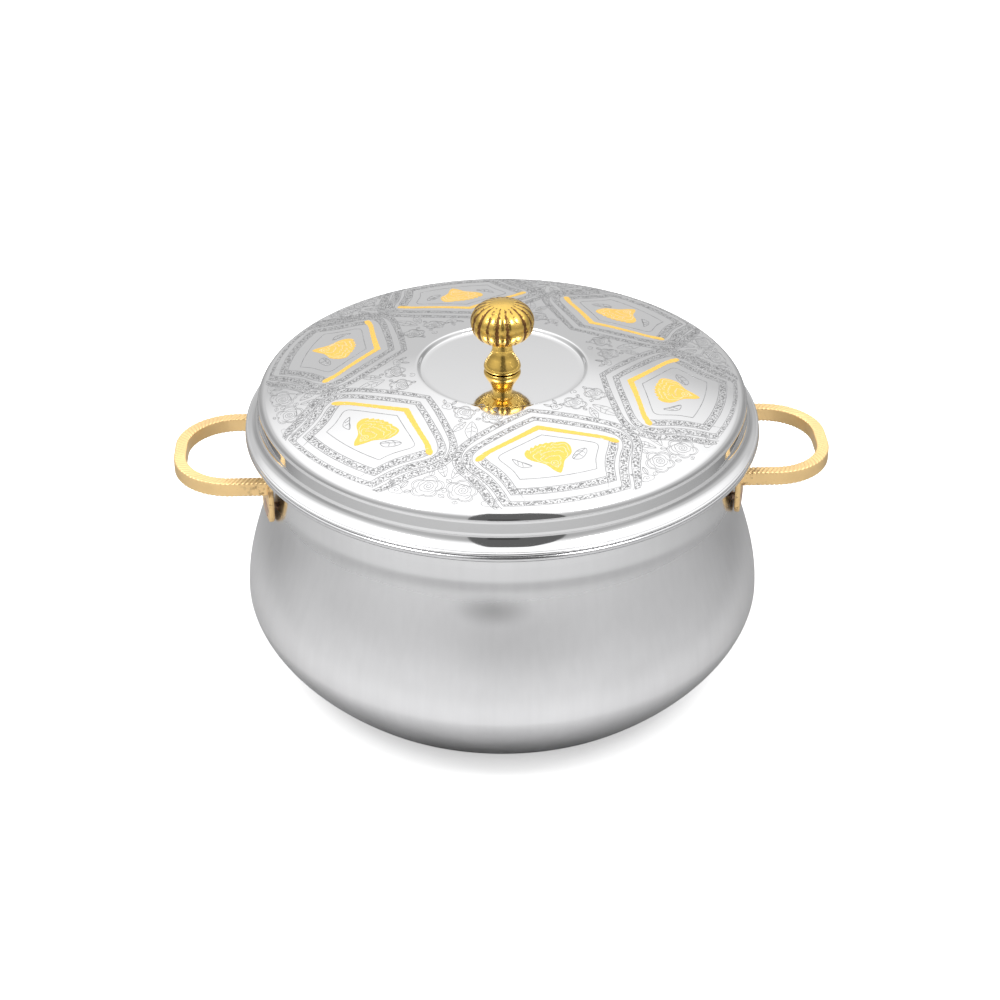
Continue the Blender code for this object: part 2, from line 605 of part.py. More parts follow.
def flute_ball(mesh):
    """Press the ball's flutes: grooves run from pole to pole, deepest at the widest part."""
    count = len(mesh.vertices)
    places = np.empty(count * 3)
    mesh.vertices.foreach_get("co", places)
    places = places.reshape(count, 3)
    radius = np.hypot(places[:, 0], places[:, 1])
    ball_foot = KNOB_BALL_CENTRE - KNOB_BALL_HALF_HEIGHT
    on_ball = (places[:, 2] > ball_foot) & (radius > KNOB_COLLAR_RADIUS)
    turn = np.arctan2(places[:, 1], places[:, 0]) * KNOB_FLUTES / (2.0 * math.pi)
    groove = np.abs(turn - np.round(turn)) < 1.0 / (2.0 * KNOB_STEPS_PER_FLUTE)
    depth = KNOB_FLUTE_DEPTH * radius / KNOB_BALL_RADIUS
    shrink = np.where(on_ball & groove, 1.0 - depth / np.maximum(radius, MERGE_DISTANCE), 1.0)
    places[:, :2] *= shrink[:, None]
    mesh.vertices.foreach_set("co", places.ravel())
    mesh.update()


def build_knob(parts, cutters, materials, lid):
    """The brass knob, the screw that holds it from inside the lid, and the screw's washer."""
    blank = turned("knob_blank", knob_line(), cutters, steps=KNOB_FLUTES * KNOB_STEPS_PER_FLUTE)
    mesh = evaluated_mesh(blank, "knob")
    bpy.data.objects.remove(blank)
    flute_ball(mesh)
    knob = new_object("knob", mesh, parts, materials["knob_brass"], lid)
    knob.location.z = RECESS_FLOOR
    bore_depth = SCREW_REACH + GAP
    shape = bmesh.new()
    bore_place = Matrix.Translation((0.0, 0.0, (bore_depth - CUT_OVERRUN) / 2))
    bmesh.ops.create_cone(shape, cap_ends=True, segments=SMALL_TURN_STEPS, radius1=SCREW_HOLE_RADIUS,
                          radius2=SCREW_HOLE_RADIUS, depth=bore_depth + CUT_OVERRUN, matrix=bore_place)
    bore_mesh = bpy.data.meshes.new("knob_bore_cutter")
    shape.to_mesh(bore_mesh)
    shape.free()
    bore = new_cutter("knob_bore_cutter", bore_mesh, cutters)
    bore.parent = lid
    bore.location.z = RECESS_FLOOR
    cut(knob, bore)
    mesh.shade_smooth()

    washer_top = -SHEET - GAP
    washer_under = washer_top - SCREW_WASHER_THICKNESS
    head_top = washer_under - GAP
    head_under = head_top - SCREW_HEAD_HEIGHT
    washer_line = [(SCREW_HOLE_RADIUS, washer_top), (SCREW_WASHER_RADIUS, washer_top),
                   (SCREW_WASHER_RADIUS, washer_under), (SCREW_HOLE_RADIUS, washer_under)]
    screw_line = [(0.0, SCREW_REACH), (SCREW_RADIUS, SCREW_REACH), (SCREW_RADIUS, head_top),
                  (SCREW_HEAD_RADIUS, head_top), (SCREW_HEAD_RADIUS, head_under), (0.0, head_under)]
    washer = turned("knob_washer", washer_line, parts, materials["bright_steel"], lid, closed=True,
                    steps=SMALL_TURN_STEPS)
    screw = turned("knob_screw", screw_line, parts, materials["bright_steel"], lid, steps=SMALL_TURN_STEPS)
    for piece in (washer, screw):
        piece.location.z = RECESS_FLOOR


def main():
    """Build the casserole: the pot stands on the ground and the lid rests on its rim."""
    empty_scene()
    parts = new_collection("chapati_casserole")
    cutters = new_collection("cutters")
    materials = {
        "satin_steel": new_material("satin_steel", (0.62, 0.62, 0.63), 0.38, 1.0),
        "bright_steel": new_material("bright_steel", (0.72, 0.72, 0.73), 0.18, 1.0),
        "mirror_steel": new_material("mirror_steel", (0.80, 0.80, 0.81), 0.08, 1.0),
        "brass": new_material("brass", (0.83, 0.60, 0.29), 0.32, 1.0),
        "knob_brass": new_material("knob_brass", (0.66, 0.46, 0.12), 0.18, 1.0),
        "copper_brass": new_material("copper_brass", (0.62, 0.42, 0.32), 0.40, 1.0),
        "foam": new_material("foam", (0.80, 0.74, 0.52), 0.90, 0.0),
    }
    pot = bpy.data.objects.new("pot_frame", None)
    lid = bpy.data.objects.new("lid_frame", None)
    for frame in (pot, lid):
        parts.objects.link(frame)
    lid.location.z = RIM_HEIGHT
    build_pot(parts, cutters, materials, pot)
    build_handles(parts, cutters, materials, pot)
    build_rivets(parts, materials, pot)
    build_lid(parts, materials, lid)
    build_knob(parts, cutters, materials, lid)
    bpy.context.view_layer.update()


main()
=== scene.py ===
"""The looks of an insulated chapati casserole, built round its packed solids.

Metres, +Z up, origin at the centre of the base, handles along X, front at -Y. Every new piece is a grid of
points worked out with numpy, and lies where the solid that it stands for lies.
"""

import json
import math

import bmesh
import bpy
import numpy as np
from bpy.props import FloatProperty, FloatVectorProperty, IntProperty, PointerProperty
from mathutils import Matrix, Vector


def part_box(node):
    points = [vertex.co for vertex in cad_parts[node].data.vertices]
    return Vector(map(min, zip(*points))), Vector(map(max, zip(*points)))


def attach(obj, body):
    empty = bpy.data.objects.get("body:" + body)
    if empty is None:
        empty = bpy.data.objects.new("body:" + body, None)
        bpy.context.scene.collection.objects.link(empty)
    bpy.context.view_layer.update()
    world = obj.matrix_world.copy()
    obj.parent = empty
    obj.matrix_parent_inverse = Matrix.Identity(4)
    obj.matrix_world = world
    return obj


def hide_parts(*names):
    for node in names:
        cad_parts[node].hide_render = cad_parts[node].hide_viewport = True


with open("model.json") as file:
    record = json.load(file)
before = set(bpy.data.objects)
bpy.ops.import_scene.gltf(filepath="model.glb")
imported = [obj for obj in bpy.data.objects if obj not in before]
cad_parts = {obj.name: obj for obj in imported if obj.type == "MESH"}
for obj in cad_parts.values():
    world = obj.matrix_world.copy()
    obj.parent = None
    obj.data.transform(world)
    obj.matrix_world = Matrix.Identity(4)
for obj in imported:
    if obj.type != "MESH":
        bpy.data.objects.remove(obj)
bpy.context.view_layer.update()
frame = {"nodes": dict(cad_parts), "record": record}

bl_info = {
    "name": "Chapati Casserole",
    "version": (1, 0, 0),
    "blender": (4, 5, 0),
    "location": "View3D > Sidebar > Casserole",
    "description": "Builds the finished surfaces and the studio of an insulated serving casserole",
    "category": "Add Mesh",
}

MM = 0.001
MERGE_DISTANCE = 0.000001
SHARP_ANGLE = math.radians(32)
FULL_TURN = 2.0 * math.pi

# Places read from the packed solids
RIM_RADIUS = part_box("inner_bowl")[1].y
RIM_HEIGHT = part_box("inner_bowl")[1].z
BELLY_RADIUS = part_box("outer_shell")[1].y
HANDLE_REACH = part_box("handle_right")[1].x
HANDLE_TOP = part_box("handle_right")[1].z
EAR_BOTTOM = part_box("handle_right")[0].z
LID_BRIM_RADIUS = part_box("lid_cover")[1].y
KNOB_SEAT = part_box("knob")[0].z
RECORD_COLOURS = {entry["slot"]: entry["base_color"] for entry in frame["record"]["materials"]}

# Fineness of the turned pieces, the handles and the ornament
TURN_COLUMNS = 288
SMALL_TURN_COLUMNS = 64
LOOP_ROWS = 620
EAR_COLUMNS = 160
CURVE_STEPS = 10

# How much wider the lid's brim is than its solid
BRIM_GAIN = 1.6 * MM

# Where the finishes change: the satin gets a painted shade that greys it up the belly, and turns glossy at
# the neck;
# a painted shadow under the lip lies between two radii and two drops below the rim; and the handles' legs
# are stained towards the pot
PAINTED_SHADE_HEIGHTS = (0.056, 0.096)
GLOSSY_HEIGHTS = (0.097, 0.110)
LIP_SHADOW_RADII = (0.1200, 0.1215)
LIP_SHADOW_DROPS = (1.8 * MM, 2.5 * MM)
STAIN_REACH = (0.128, 0.117)

# A painted dark reflection of the camera on the pot's front, soft: its middle, and how much each axis counts
CAMERA_REFLECTION_PLACE = (-0.009, -0.117, 0.096)
CAMERA_REFLECTION_SPREAD = (45.0, 15.0, 105.0)

# Depths of the finishes' fine relief
BRUSHING_DEPTH = 0.02 * MM
POLISH_DEPTH = 0.01 * MM
RIPPLE_DEPTH = 0.6 * MM
LEAF_DEPTH = 0.06 * MM
CAST_DEPTH = 0.08 * MM
PIT_DEPTH = 0.06 * MM
PATINA_DEPTH = 0.2 * MM
HAMMERED_DEPTH = 0.3 * MM
CELL_DEPTH = 0.3 * MM

# Ornament on the lid, in millimetres: distance out from the pattern's centre, distance across, width.
# Each line is the right half of its figure, from the panel's point down; the left half mirrors it.
OUTER_BAND = ((45.6, 0, 2.4), (50.3, 11, 2.8), (55.6, 22, 3.0), (61.6, 33, 3.2), (66.6, 38.8, 3.6),
              (73, 42, 4.0), (79.5, 41.7, 4.2), (86, 39.2, 4.2), (93, 36.6, 4.0), (101.5, 34.6, 3.8),
              (113.5, 33.2, 3.4))
MIDDLE_BAND = ((52.2, 0, 2.6), (56.3, 9.5, 2.8), (61.3, 20, 3.0), (66, 29.5, 3.2), (70.2, 35.3, 3.8),
               (75, 37.4, 4.2), (80.5, 36.6, 4.4), (86.4, 33.4, 4.4), (93.6, 30.6, 4.3), (101.2, 28.8, 4.2),
               (108.2, 28, 4.2))
INNER_BAND = ((75.8, 31.3, 4.0), (80.2, 29.6, 4.4), (86.6, 26.4, 4.4), (93, 24.2, 4.2), (100.4, 22.8, 4.0))
GOLD_CHEVRON = ((59.4, 0, 3.0), (64, 9.6, 2.6), (68.2, 19, 2.4), (71.6, 26.8, 2.5), (74.6, 31.4, 3.1),
                (75.6, 33, 2.6), (76.1, 33.9, 0.8))
FRAME_LINE = ((65.2, 0), (69.6, 9.8), (73.6, 19.2), (75.6, 22.8), (78.2, 23.3), (81.6, 21.8), (87, 19.4),
              (93.2, 18))
GOLD_ROSE = ((77, -11.4), (74.6, -9.6), (75.1, -8.6), (73.2, -7.4), (73.7, -6.3), (72.1, -5), (72.6, -4),
             (71.5, -2.6), (72, -1.5), (71.2, 0.3), (71.8, 1.3), (71.3, 3.1), (71.9, 4.2), (71.8, 6.6),
             (72.6, 9.3), (75.4, 10.6), (79.2, 10.3), (81.4, 9.2), (83.2, 7.2), (85.3, 5.2), (88, 4),
             (90.2, 3), (92.9, 1.2), (91.2, -1), (88.3, -2.6), (86.2, -4), (84.4, -6.2), (82.6, -9),
             (80.2, -11))
ROSE_HEART = (86, 0.6)
LEFT_LEAF = ((79.2, -17.6), (83.4, -16.8), (86.1, -14.3), (86, -10.3), (83.6, -12.3), (82, -14.5))
RIGHT_LEAF = ((78.4, 17), (79.7, 12.6), (84.2, 9.3), (85.3, 12.9), (81.5, 16.7))
SPRAY_FLOWERS = ((103.6, -6.2, 7.6), (103.2, 9.8, 7.4), (48.6, 9, 5.4), (48.4, -4.4, 5.4))
SPRAY_BUDS = ((108.2, -19.6, 4.6), (108.6, 23.8, 4.6), (44.8, -13.4, 3.4))
SPRAY_LEAVES = ((96, 3.4, 84.5, 6.2), (95.6, 0, 86.5, -4.6), (54.6, 1.2, 68, 4.2), (55.5, -1.6, 64, -5.4))
SPRAY_CURLS = ((95.2, -13.6, 2.8), (94.8, 17.4, 2.8), (104.6, 1.9, 2.0), (54.8, 12.6, 2.2), (41.5, 2.4, 2.0))

# The gold rose's petals: share of the way from heart to outline, and the outline's shares that they follow
ROSE_PETAL_SHARES = ((0.32, 0.02, 0.62), (0.44, 0.7, 1.15), (0.54, 0.08, 0.52), (0.66, 0.88, 1.2),
                     (0.7, 0.28, 0.6), (0.82, 0.02, 0.3), (0.84, 0.36, 0.55))

# The knob under its ball, above the recess's floor: the collar's radius, the ring's middle and radius, and
# the bell's outline (radius, height) in millimetres
KNOB_COLLAR = 5.5 * MM
KNOB_RING = ((5.05 * MM, 14.6 * MM), 0.45 * MM)
KNOB_BELL = ((4.97, 14.1), (4.9, 13.2), (4.88, 12.2), (4.92, 11.2), (5.1, 10.1), (5.5, 8.8), (6.1, 7.5),
             (6.9, 6.2), (7.8, 4.7), (8.45, 3.5), (8.85, 2.4), (8.95, 1.6), (8.8, 0.9), (8.4, 0.45),
             (8.0, 0.3))

# The knob's grooves, in shares of the ball's half height from its middle: where they start at the foot and
# how soon they are full, and the worn groove's middle and half length
GROOVE_FOOT_SHARE = -0.97
GROOVE_FADE_SHARE = 0.2
WORN_MIDDLE_SHARE = 0.1
WORN_LENGTH_SHARE = 0.55

# Greys that the steel mirrors or the camera sees, by metres from the axis or by share of the dome's height;
# on the floor they are painted shadow, dark near the pot and darker by the foot, and the inner and outer
# edges of a painted dark ring on the floor that is darker still behind the pot
FLOOR_MIRRORED = ((0.0, 0.33), (0.112, 0.33), (0.150, 0.58), (0.190, 0.71), (0.292, 0.68), (0.302, 0.46),
                  (0.365, 0.46), (0.375, 0.68), (0.50, 0.66), (0.85, 0.74))
FLOOR_RING = ((0.292, 0.302), (0.385, 0.370))
FLOOR_SEEN = ((0.0, 0.36), (0.082, 0.38), (0.105, 0.50), (0.14, 0.56), (0.25, 0.70))
DOME_BEHIND = ((0.0, 0.50), (0.47, 0.52), (0.545, 0.72), (0.68, 0.95), (0.80, 1.0))
DOME_BEFORE = ((0.0, 0.62), (0.08, 0.54), (0.20, 0.38), (0.66, 0.38), (0.82, 0.75), (0.93, 1.0))

# Cards that the steel mirrors: name, distance, grey, directions from the front, elevations
CARDS = (("wide_card", 1.6, 0.14, (-14, 26), (10, 76)), ("narrow_card", 1.5, 0.08, (-6, 7), (9, 24)))

# Softboxes: degrees from the front and up, and in metres their distance, width and the height of their aim
SOFTBOXES = {"softbox_left": -55, "softbox_right": 55}
SOFTBOX_RISE = 55
SOFTBOX_DISTANCE = 1.4
SOFTBOX_WIDTH = 0.45
SOFTBOX_AIM = 0.1

# Camera sensor in millimetres, and the floor's first ring and its drop below the foot in metres
SENSOR_WIDTH = 36.0
FLOOR_FIRST_RING = 0.05
FLOOR_DROP = 0.1 * MM


def size(name, description, default):
    """A length that a user can change, in metres."""
    return FloatProperty(name=name, description=description, default=default, min=0.0, precision=5,
                         subtype="DISTANCE", unit="LENGTH")


def colour(name, description, default):
    """A colour that a user can change."""
    return FloatVectorProperty(name=name, description=description, default=default, size=3, min=0.0, max=1.0,
                               subtype="COLOR")


def amount(name, description, default, high=1.0):
    """A plain number that a user can change."""
    return FloatProperty(name=name, description=description, default=default, min=0.0, max=high)


def turn(name, description, degrees):
    """An angle that a user can change."""
    return FloatProperty(name=name, description=description, default=math.radians(degrees), subtype="ANGLE",
                         unit="ROTATION")


class CasserolePotSizes(bpy.types.PropertyGroup):
    """Sizes of the shell, the bowl and the base plate."""

    sheet: size("Sheet", "Thickness of the steel sheet", 0.0006)
    gap: size("Gap", "Gap between pieces that touch", 0.0003)
    rim_radius: size("Rim radius", "Outside of the rolled lip", RIM_RADIUS)
    rim_height: size("Rim height", "Top of the rolled lip", RIM_HEIGHT)
    bead_radius: size("Bead radius", "Radius of the rolled lip", 0.0015)
    bead_end: turn("Bead end", "Direction in which the curl of the rolled lip ends", -105)
    belly_radius: size("Belly radius", "The shell's widest place", BELLY_RADIUS)
    belly_height: size("Belly height", "Height of the shell's widest place", 0.041)
    neck_inset: size("Neck inset", "How far the neck lies inside the rim", 0.0114)
    neck_drop: size("Neck drop", "How far the neck lies under the rim", 0.019)
    cove_width: size("Cove width", "Width of the hollow under the rim", 0.0070)
    cove_height: size("Cove height", "Height of the hollow under the rim", 0.0125)
    lower_inset: size("Lower inset", "How far the belly draws in down to the foot", 0.0293)
    lower_power: amount("Lower power", "How late the belly draws in", 1.63, 4.0)
    foot_bend_height: size("Foot bend height", "Height of the bend into the foot", 0.005)
    foot_bend_width: size("Foot bend width", "Width of the bend into the foot", 0.0052)
    foot_ring_width: size("Foot ring width", "Width of the flat ring underneath", 0.0095)
    mouth_inset: size("Mouth inset", "How far the bowl's mouth lies inside the rim", 0.017)
    mouth_bend: size("Mouth bend", "Radius of the bend into the mouth", 0.0025)
    mouth_depth: size("Mouth depth", "Height of the straight mouth", 0.026)
    bowl_inset: size("Bowl inset", "How far the bowl's wall lies inside the belly", 0.017)
    bowl_corner: size("Bowl corner", "Radius of the corner round the bowl's floor", 0.0325)
    bowl_floor: size("Bowl floor", "Height of the bowl's floor", 0.012)
    base_margin: size("Base margin", "How far the base plate's edge lies inside the foot", 0.0015)
    dish_inset: size("Dish inset", "How far the base's dish lies inside the foot's opening", 0.006)
    dish_depth: size("Dish depth", "Depth of the base's dish", 0.0015)
    dish_slope: size("Dish slope", "Width of the dish's slope", 0.0018)


class CasseroleHandleSizes(bpy.types.PropertyGroup):
    """Sizes of the handles, their ears and the rivets."""

    reach: size("Reach", "Outside of the loop, from the pot's axis", HANDLE_REACH)
    top: size("Top", "Height of the loop's top face", HANDLE_TOP)
    half_width: size("Half width", "Half of the loop's width", 0.034)
    bar_width: size("Bar width", "Width of the bar", 0.006)
    bar_height: size("Bar height", "Height of the bar", 0.0075)
    corner: size("Corner", "Outer radius of the loop's corners", 0.0290)
    edge: size("Edge", "Radius of the bar's edges", 0.0008)
    ridge_pitch: size("Ridge pitch", "Distance between the slanted ridges", 0.0022)
    ridge_depth: size("Ridge depth", "Depth of the valleys between the ridges", 0.00045)
    ridge_slant: amount("Ridge slant", "How far a ridge runs along for each step across", 0.55, 3.0)
    ridge_wander: size("Ridge wander", "Length over which the ridges' spacing wanders", 0.0091)
    ear_distance: size("Ear distance", "The ears' backs, from the pot's axis", 0.11606)
    ear_azimuth: turn("Ear azimuth", "Direction of an ear, from the handle's", 13.65)
    ear_width: size("Ear width", "Width of an ear", 0.019)
    ear_top_drop: size("Ear top drop", "How far the ears end under the loop's top", 0.0005)
    ear_bottom: size("Ear bottom", "Height of the ears' lower ends", EAR_BOTTOM)
    ear_thickness: size("Ear thickness", "Thickness of an ear", 0.0026)
    ear_corner: size("Ear corner", "Radius of an ear's lower corners", 0.0055)
    rivet_rise: size("Rivet rise", "Height of a rivet above its ear's foot", 0.0055)
    rivet_head: size("Rivet head", "Radius of a rivet's head", 0.0042)
    rivet_head_thickness: size("Head thickness", "Thickness of a rivet's head", 0.0012)
    rivet_shank: size("Rivet shank", "Radius of a rivet's shank", 0.0020)
    rivet_proud: size("Rivet proud", "How far a rivet's head stands out", 0.0002)
    rivet_tail: size("Rivet tail", "Radius of a rivet's tail", 0.0031)
    rivet_rim: size("Rivet rim", "Radius of the rim of a rivet's head", 0.00035)
    rivet_crown: size("Rivet crown", "How far the middle of a rivet's head rises", 0.00012)
    rivet_slope: size("Rivet slope", "How far the rim of a rivet's head lies down", 0.00004)
    rivet_gap: size("Rivet gap", "Gap round a rivet in its ear", 0.0003)
    rivet_sink: size("Rivet sink", "Bevel at the edge of a rivet's recess", 0.00015)
    tail_length: size("Tail length", "Length of a rivet's tail", 0.0011)
    tail_spare: size("Tail spare", "How far a rivet's tail lies past its solid's box", 0.0003)


class CasseroleLidSizes(bpy.types.PropertyGroup):
    """Sizes of the lid's cover and liner, above the pot's rim."""

    brim_radius: size("Brim radius", "Outside of the lid's brim", LID_BRIM_RADIUS + BRIM_GAIN)
    hem_radius: size("Hem radius", "Radius of the rolled hem", 0.0006)
    hem_leaf: size("Hem leaf", "Width of the hem's leaf", 0.0028)
    cove: size("Cove", "Radius of the bend from brim to skirt", 0.0065)
    brim_tilt: turn("Brim tilt", "How far the brim's face leans back from upright", 65)
    skirt_inset: size("Skirt inset", "How far the skirt lies inside the brim", 0.0064)
    shoulder: size("Shoulder", "Radius of the rounded shoulder", 0.005)
    crown_radius: size("Crown radius", "Radius of the dome's wide sphere", 0.540)
    crown_height: size("Crown height", "Height of the recess's edge", 0.0287)
    recess_radius: size("Recess radius", "Radius of the round recess", 0.0412)
    recess_depth: size("Recess depth", "Depth of the round recess", 0.002)
    recess_wall: size("Recess wall", "Width of the recess's slope", 0.0020)
    screw_hole: size("Screw hole", "Radius of the hole for the knob's screw", 0.0023)
    plug_clearance: size("Plug clearance", "Gap between plug and mouth", 0.0012)
    plug_depth: size("Plug depth", "How far the plug drops into the mouth", 0.0085)
    plug_bend: size("Plug bend", "Radius of the plug's upper bend", 0.002)
    plug_corner: size("Plug corner", "Radius of the plug's lower corner", 0.004)


class CasseroleOrnamentSizes(bpy.types.PropertyGroup):
    """Layout of the engraved ornament."""

    panels: IntProperty(name="Panels", description="Number of six-sided panels", default=6, min=3, max=9)
    first_azimuth: turn("First azimuth", "Direction of the first panel", -77.34)
    centre_shift: size("Centre shift", "How far the pattern's centre lies off the lid's", 0.0040)
    shift_azimuth: turn("Shift azimuth", "Direction in which the pattern's centre lies", 87.66)
    spread: size("Spread", "How far the pattern is moved out", 0.0039)
    soft_radius: size("Soft radius", "Radius from which the pattern is drawn in", 0.104)
    soft_width: size("Soft width", "Width into which the pattern's edge is drawn", 0.0115)
    band_proud: size("Band proud", "Height of the bands over the dome", 0.00002)
    line_proud: size("Line proud", "Height of engraved lines and roses over the dome", 0.00004)
    gold_proud: size("Gold proud", "Height of chevrons and petals over the dome", 0.00006)
    line_width: size("Line width", "Width of an engraved line", 0.00044)
    sunk: size("Sunk", "How far the ornament's undersides lie in the sheet", 0.00012)


class CasseroleKnobSizes(bpy.types.PropertyGroup):
    """Sizes of the fluted knob, above the recess's floor."""

    ball_radius: size("Ball radius", "Half of the ball's width", 0.01525)
    ball_half_height: size("Ball half height", "Half of the ball's height", 0.0104)
    ball_centre: size("Ball centre", "Height of the ball's middle", 0.02515)
    ball_power: amount("Ball power", "How full the ball is; 2 is an ellipse", 2.25, 4.0)
    flutes: IntProperty(name="Flutes", description="Number of grooves", default=19, min=6, max=40)
    flute_depth: size("Flute depth", "Depth of the grooves", 0.00055)
    flute_azimuth: turn("Flute azimuth", "Direction of one groove", 11.65)
    groove_spread: turn("Groove spread", "Half of a groove's width", 4.3)
    worn_groove: IntProperty(name="Worn groove", description="The groove that is worn away", default=15,
                             min=0)


class CasseroleFinishes(bpy.types.PropertyGroup):
    """Colours of the finishes."""

    satin_steel: colour("Satin steel", "The pot's outside", (0.83, 0.83, 0.84))
    bright_steel: colour("Bright steel", "Bowl, base and liner", tuple(RECORD_COLOURS["bright_steel"]))
    mirror_steel: colour("Mirror steel", "The lid's cover", (0.80, 0.80, 0.805))
    etched_steel: colour("Etched steel", "Engraved marks", (0.31, 0.31, 0.315))
    gold_inlay: colour("Gold inlay", "Chevrons and roses", (1.0, 0.63, 0.12))
    handle_brass: colour("Handle brass", "Handles", (1.0, 0.70, 0.33))
    handle_stain: colour("Handle stain", "Dark stain on the handles", (0.30, 0.16, 0.07))
    knob_brass: colour("Knob brass", "Knob", (0.86, 0.57, 0.14))
    patina: colour("Patina", "Dark patina in the knob's grooves", (0.07, 0.03, 0.012))
    rivet_brass: colour("Rivet brass", "Rivets", tuple(RECORD_COLOURS["rivet_brass"]))
    foam: colour("Foam", "Insulation", tuple(RECORD_COLOURS["foam"]))


class CasseroleStudioSettings(bpy.types.PropertyGroup):
    """Camera, floor and light."""

    camera_distance: size("Camera distance", "From the point that the camera looks at", 1.100)
    camera_elevation: turn("Camera elevation", "Angle above the level", 32.03)
    camera_azimuth: turn("Camera azimuth", "Turn of the camera round the pot", -2.34)
    target_side: size("Target side", "The point looked at, to the left of the axis", 0.00111)
    target_height: size("Target height", "Height of the point looked at", 0.0829)
    focal_length: amount("Focal length", "In millimetres on a 36 mm sensor", 79.24, 500.0)
    dome_radius: size("Dome radius", "Radius of the light dome", 3.0)
    floor_radius: size("Floor radius", "Radius of the floor", 2.9)
    box_power: amount("Box power", "Power of each softbox in watts", 6.0, 200.0)


# Lines and curves

def around(centre, reach, angles, rise=None):
    """Points about a centre, at a reach in each direction; a rise of its own makes the circle an ellipse."""
    rise = reach if rise is None else rise
    return np.stack([centre[0] + reach * np.cos(angles), centre[1] + rise * np.sin(angles)], axis=1)


def arc(centre, radius, start, end, steps):
    """Points on a circle from one angle to another; the radius may be a pair (width, height)."""
    wide, high = np.broadcast_to(radius, 2)
    return around(centre, wide, np.linspace(start, end, steps + 1), high)


def facing(out, across, azimuth):
    """X and Y of places that lie out and across in a direction."""
    return (out * math.cos(azimuth) - across * math.sin(azimuth),
            out * math.sin(azimuth) + across * math.cos(azimuth))


def unit(steps):
    """Steps made one long."""
    return steps / np.maximum(np.linalg.norm(steps, axis=1), MERGE_DISTANCE * MM)[:, None]


def to_right(steps):
    """Flat steps turned a quarter to the right."""
    return np.stack([steps[:, 1], -steps[:, 0]], axis=1)


def travelled(points):
    """The distance along a line at each of its points."""
    return np.concatenate([[0.0], np.cumsum(np.linalg.norm(np.diff(points, axis=0), axis=1))])


def wave(start, end, steps):
    """Half a cosine wave between two points (swinging, even), along the even axis at both ends."""
    share = np.linspace(0.0, 1.0, steps + 1)
    swing = (1.0 - np.cos(math.pi * share)) / 2.0
    return np.stack([start[0] + (end[0] - start[0]) * swing, start[1] + (end[1] - start[1]) * share], axis=1)


def bend(start, corner, end, steps):
    """A quadratic curve that leaves and arrives in line with the corner point."""
    share = np.linspace(0.0, 1.0, steps + 1)[:, None]
    start, corner, end = np.array(start), np.array(corner), np.array(end)
    return (1.0 - share) ** 2 * start + 2.0 * share * (1.0 - share) * corner + share ** 2 * end


def straight(start, end, steps):
    """Evenly spaced points on a straight line."""
    return np.linspace(np.array(start, dtype=float), np.array(end, dtype=float), steps + 1)


def join_lines(*lines):
    """One line from several, without points that repeat."""
    points = np.vstack([np.atleast_2d(np.asarray(line, dtype=float)) for line in lines])
    keep = np.ones(len(points), dtype=bool)
    keep[1:] = np.linalg.norm(np.diff(points, axis=0), axis=1) > MERGE_DISTANCE
    return points[keep]


def square_lines(points, closed=False):
    """For each point of a line, the mitred step square to its travel, to the right."""
    ahead = unit(np.roll(points, -1, axis=0) - points)
    if not closed:
        ahead[-1] = ahead[-2]
    behind = np.roll(ahead, 1, axis=0)
    if not closed:
        behind[0] = ahead[0]
    mitre = to_right(behind) + to_right(ahead)
    return mitre / np.sum(mitre * to_right(behind), axis=1)[:, None]


def offset_line(points, distance, closed=False):
    """A line moved square to itself, to the right of its travel, by a distance."""
    return points + square_lines(points, closed) * distance


def sheet_section(line, wall):
    """The section of a bent sheet: its visible line, and back along the line moved in by the wall."""
    inner = offset_line(line, wall)
    on_axis = line[:, 0] == 0.0
    inner[on_axis, 0] = 0.0
    return np.vstack([line, inner[::-1]])


def smooth_curve(points, steps, closed=False):
    """Points on a Catmull-Rom curve: cubics through the knots, each leaving in line with its neighbours."""
    knots = np.asarray(points, dtype=float)
    if closed:
        before, start, after, beyond = (np.roll(knots, shift, axis=0) for shift in (1, 0, -1, -2))
    else:
        padded = np.vstack([2.0 * knots[0] - knots[1], knots, 2.0 * knots[-1] - knots[-2]])
        before, start, after, beyond = padded[:-3], padded[1:-2], padded[2:-1], padded[3:]
    share = (np.arange(steps) / steps)[None, :, None]
    a, b, c, d = (part[:, None, :] for part in (before, start, after, beyond))
    curve = (2.0 * b + (c - a) * share + (2.0 * a - 5.0 * b + 4.0 * c - d) * share ** 2
             + (3.0 * b - a - 3.0 * c + d) * share ** 3) / 2.0
    curve = curve.reshape(-1, knots.shape[1])
    return curve if closed else np.vstack([curve, knots[-1:]])


def even_line(points, count, closed=False):
    """A line drawn again with a number of evenly spaced points."""
    path = np.vstack([points, points[:1]]) if closed else points
    travel = travelled(path)
    places = np.linspace(0.0, travel[-1], count + closed)[:count]
    return np.stack([np.interp(places, travel, path[:, axis]) for axis in range(path.shape[1])], axis=1)


def capped(grid):
    """A grid whose ends are closed: each end row is drawn together in its middle."""
    first, last = (np.broadcast_to(grid[end].mean(axis=0), (1, *grid.shape[1:])) for end in (0, -1))
    return np.concatenate([first, grid, last])


# Surfaces and meshes

def grid_surface(points, wrap_rows=False, wrap_columns=False, places=None):
    """Four-sided faces between the points of a grid (rows, columns, 3), and each corner's map place."""
    rows, columns = points.shape[:2]
    row = np.arange(rows + wrap_rows) % rows
    column = np.arange(columns + wrap_columns) % columns
    index = row[:, None] * columns + column[None, :]
    if places is None:
        places = np.zeros((len(row), len(column), 2))

    def corners(grid):
        return np.stack([grid[:-1, :-1], grid[:-1, 1:], grid[1:, 1:], grid[1:, :-1]], axis=2)

    return points.reshape(-1, 3), corners(index).reshape(-1, 4), corners(places).reshape(-1, 2)


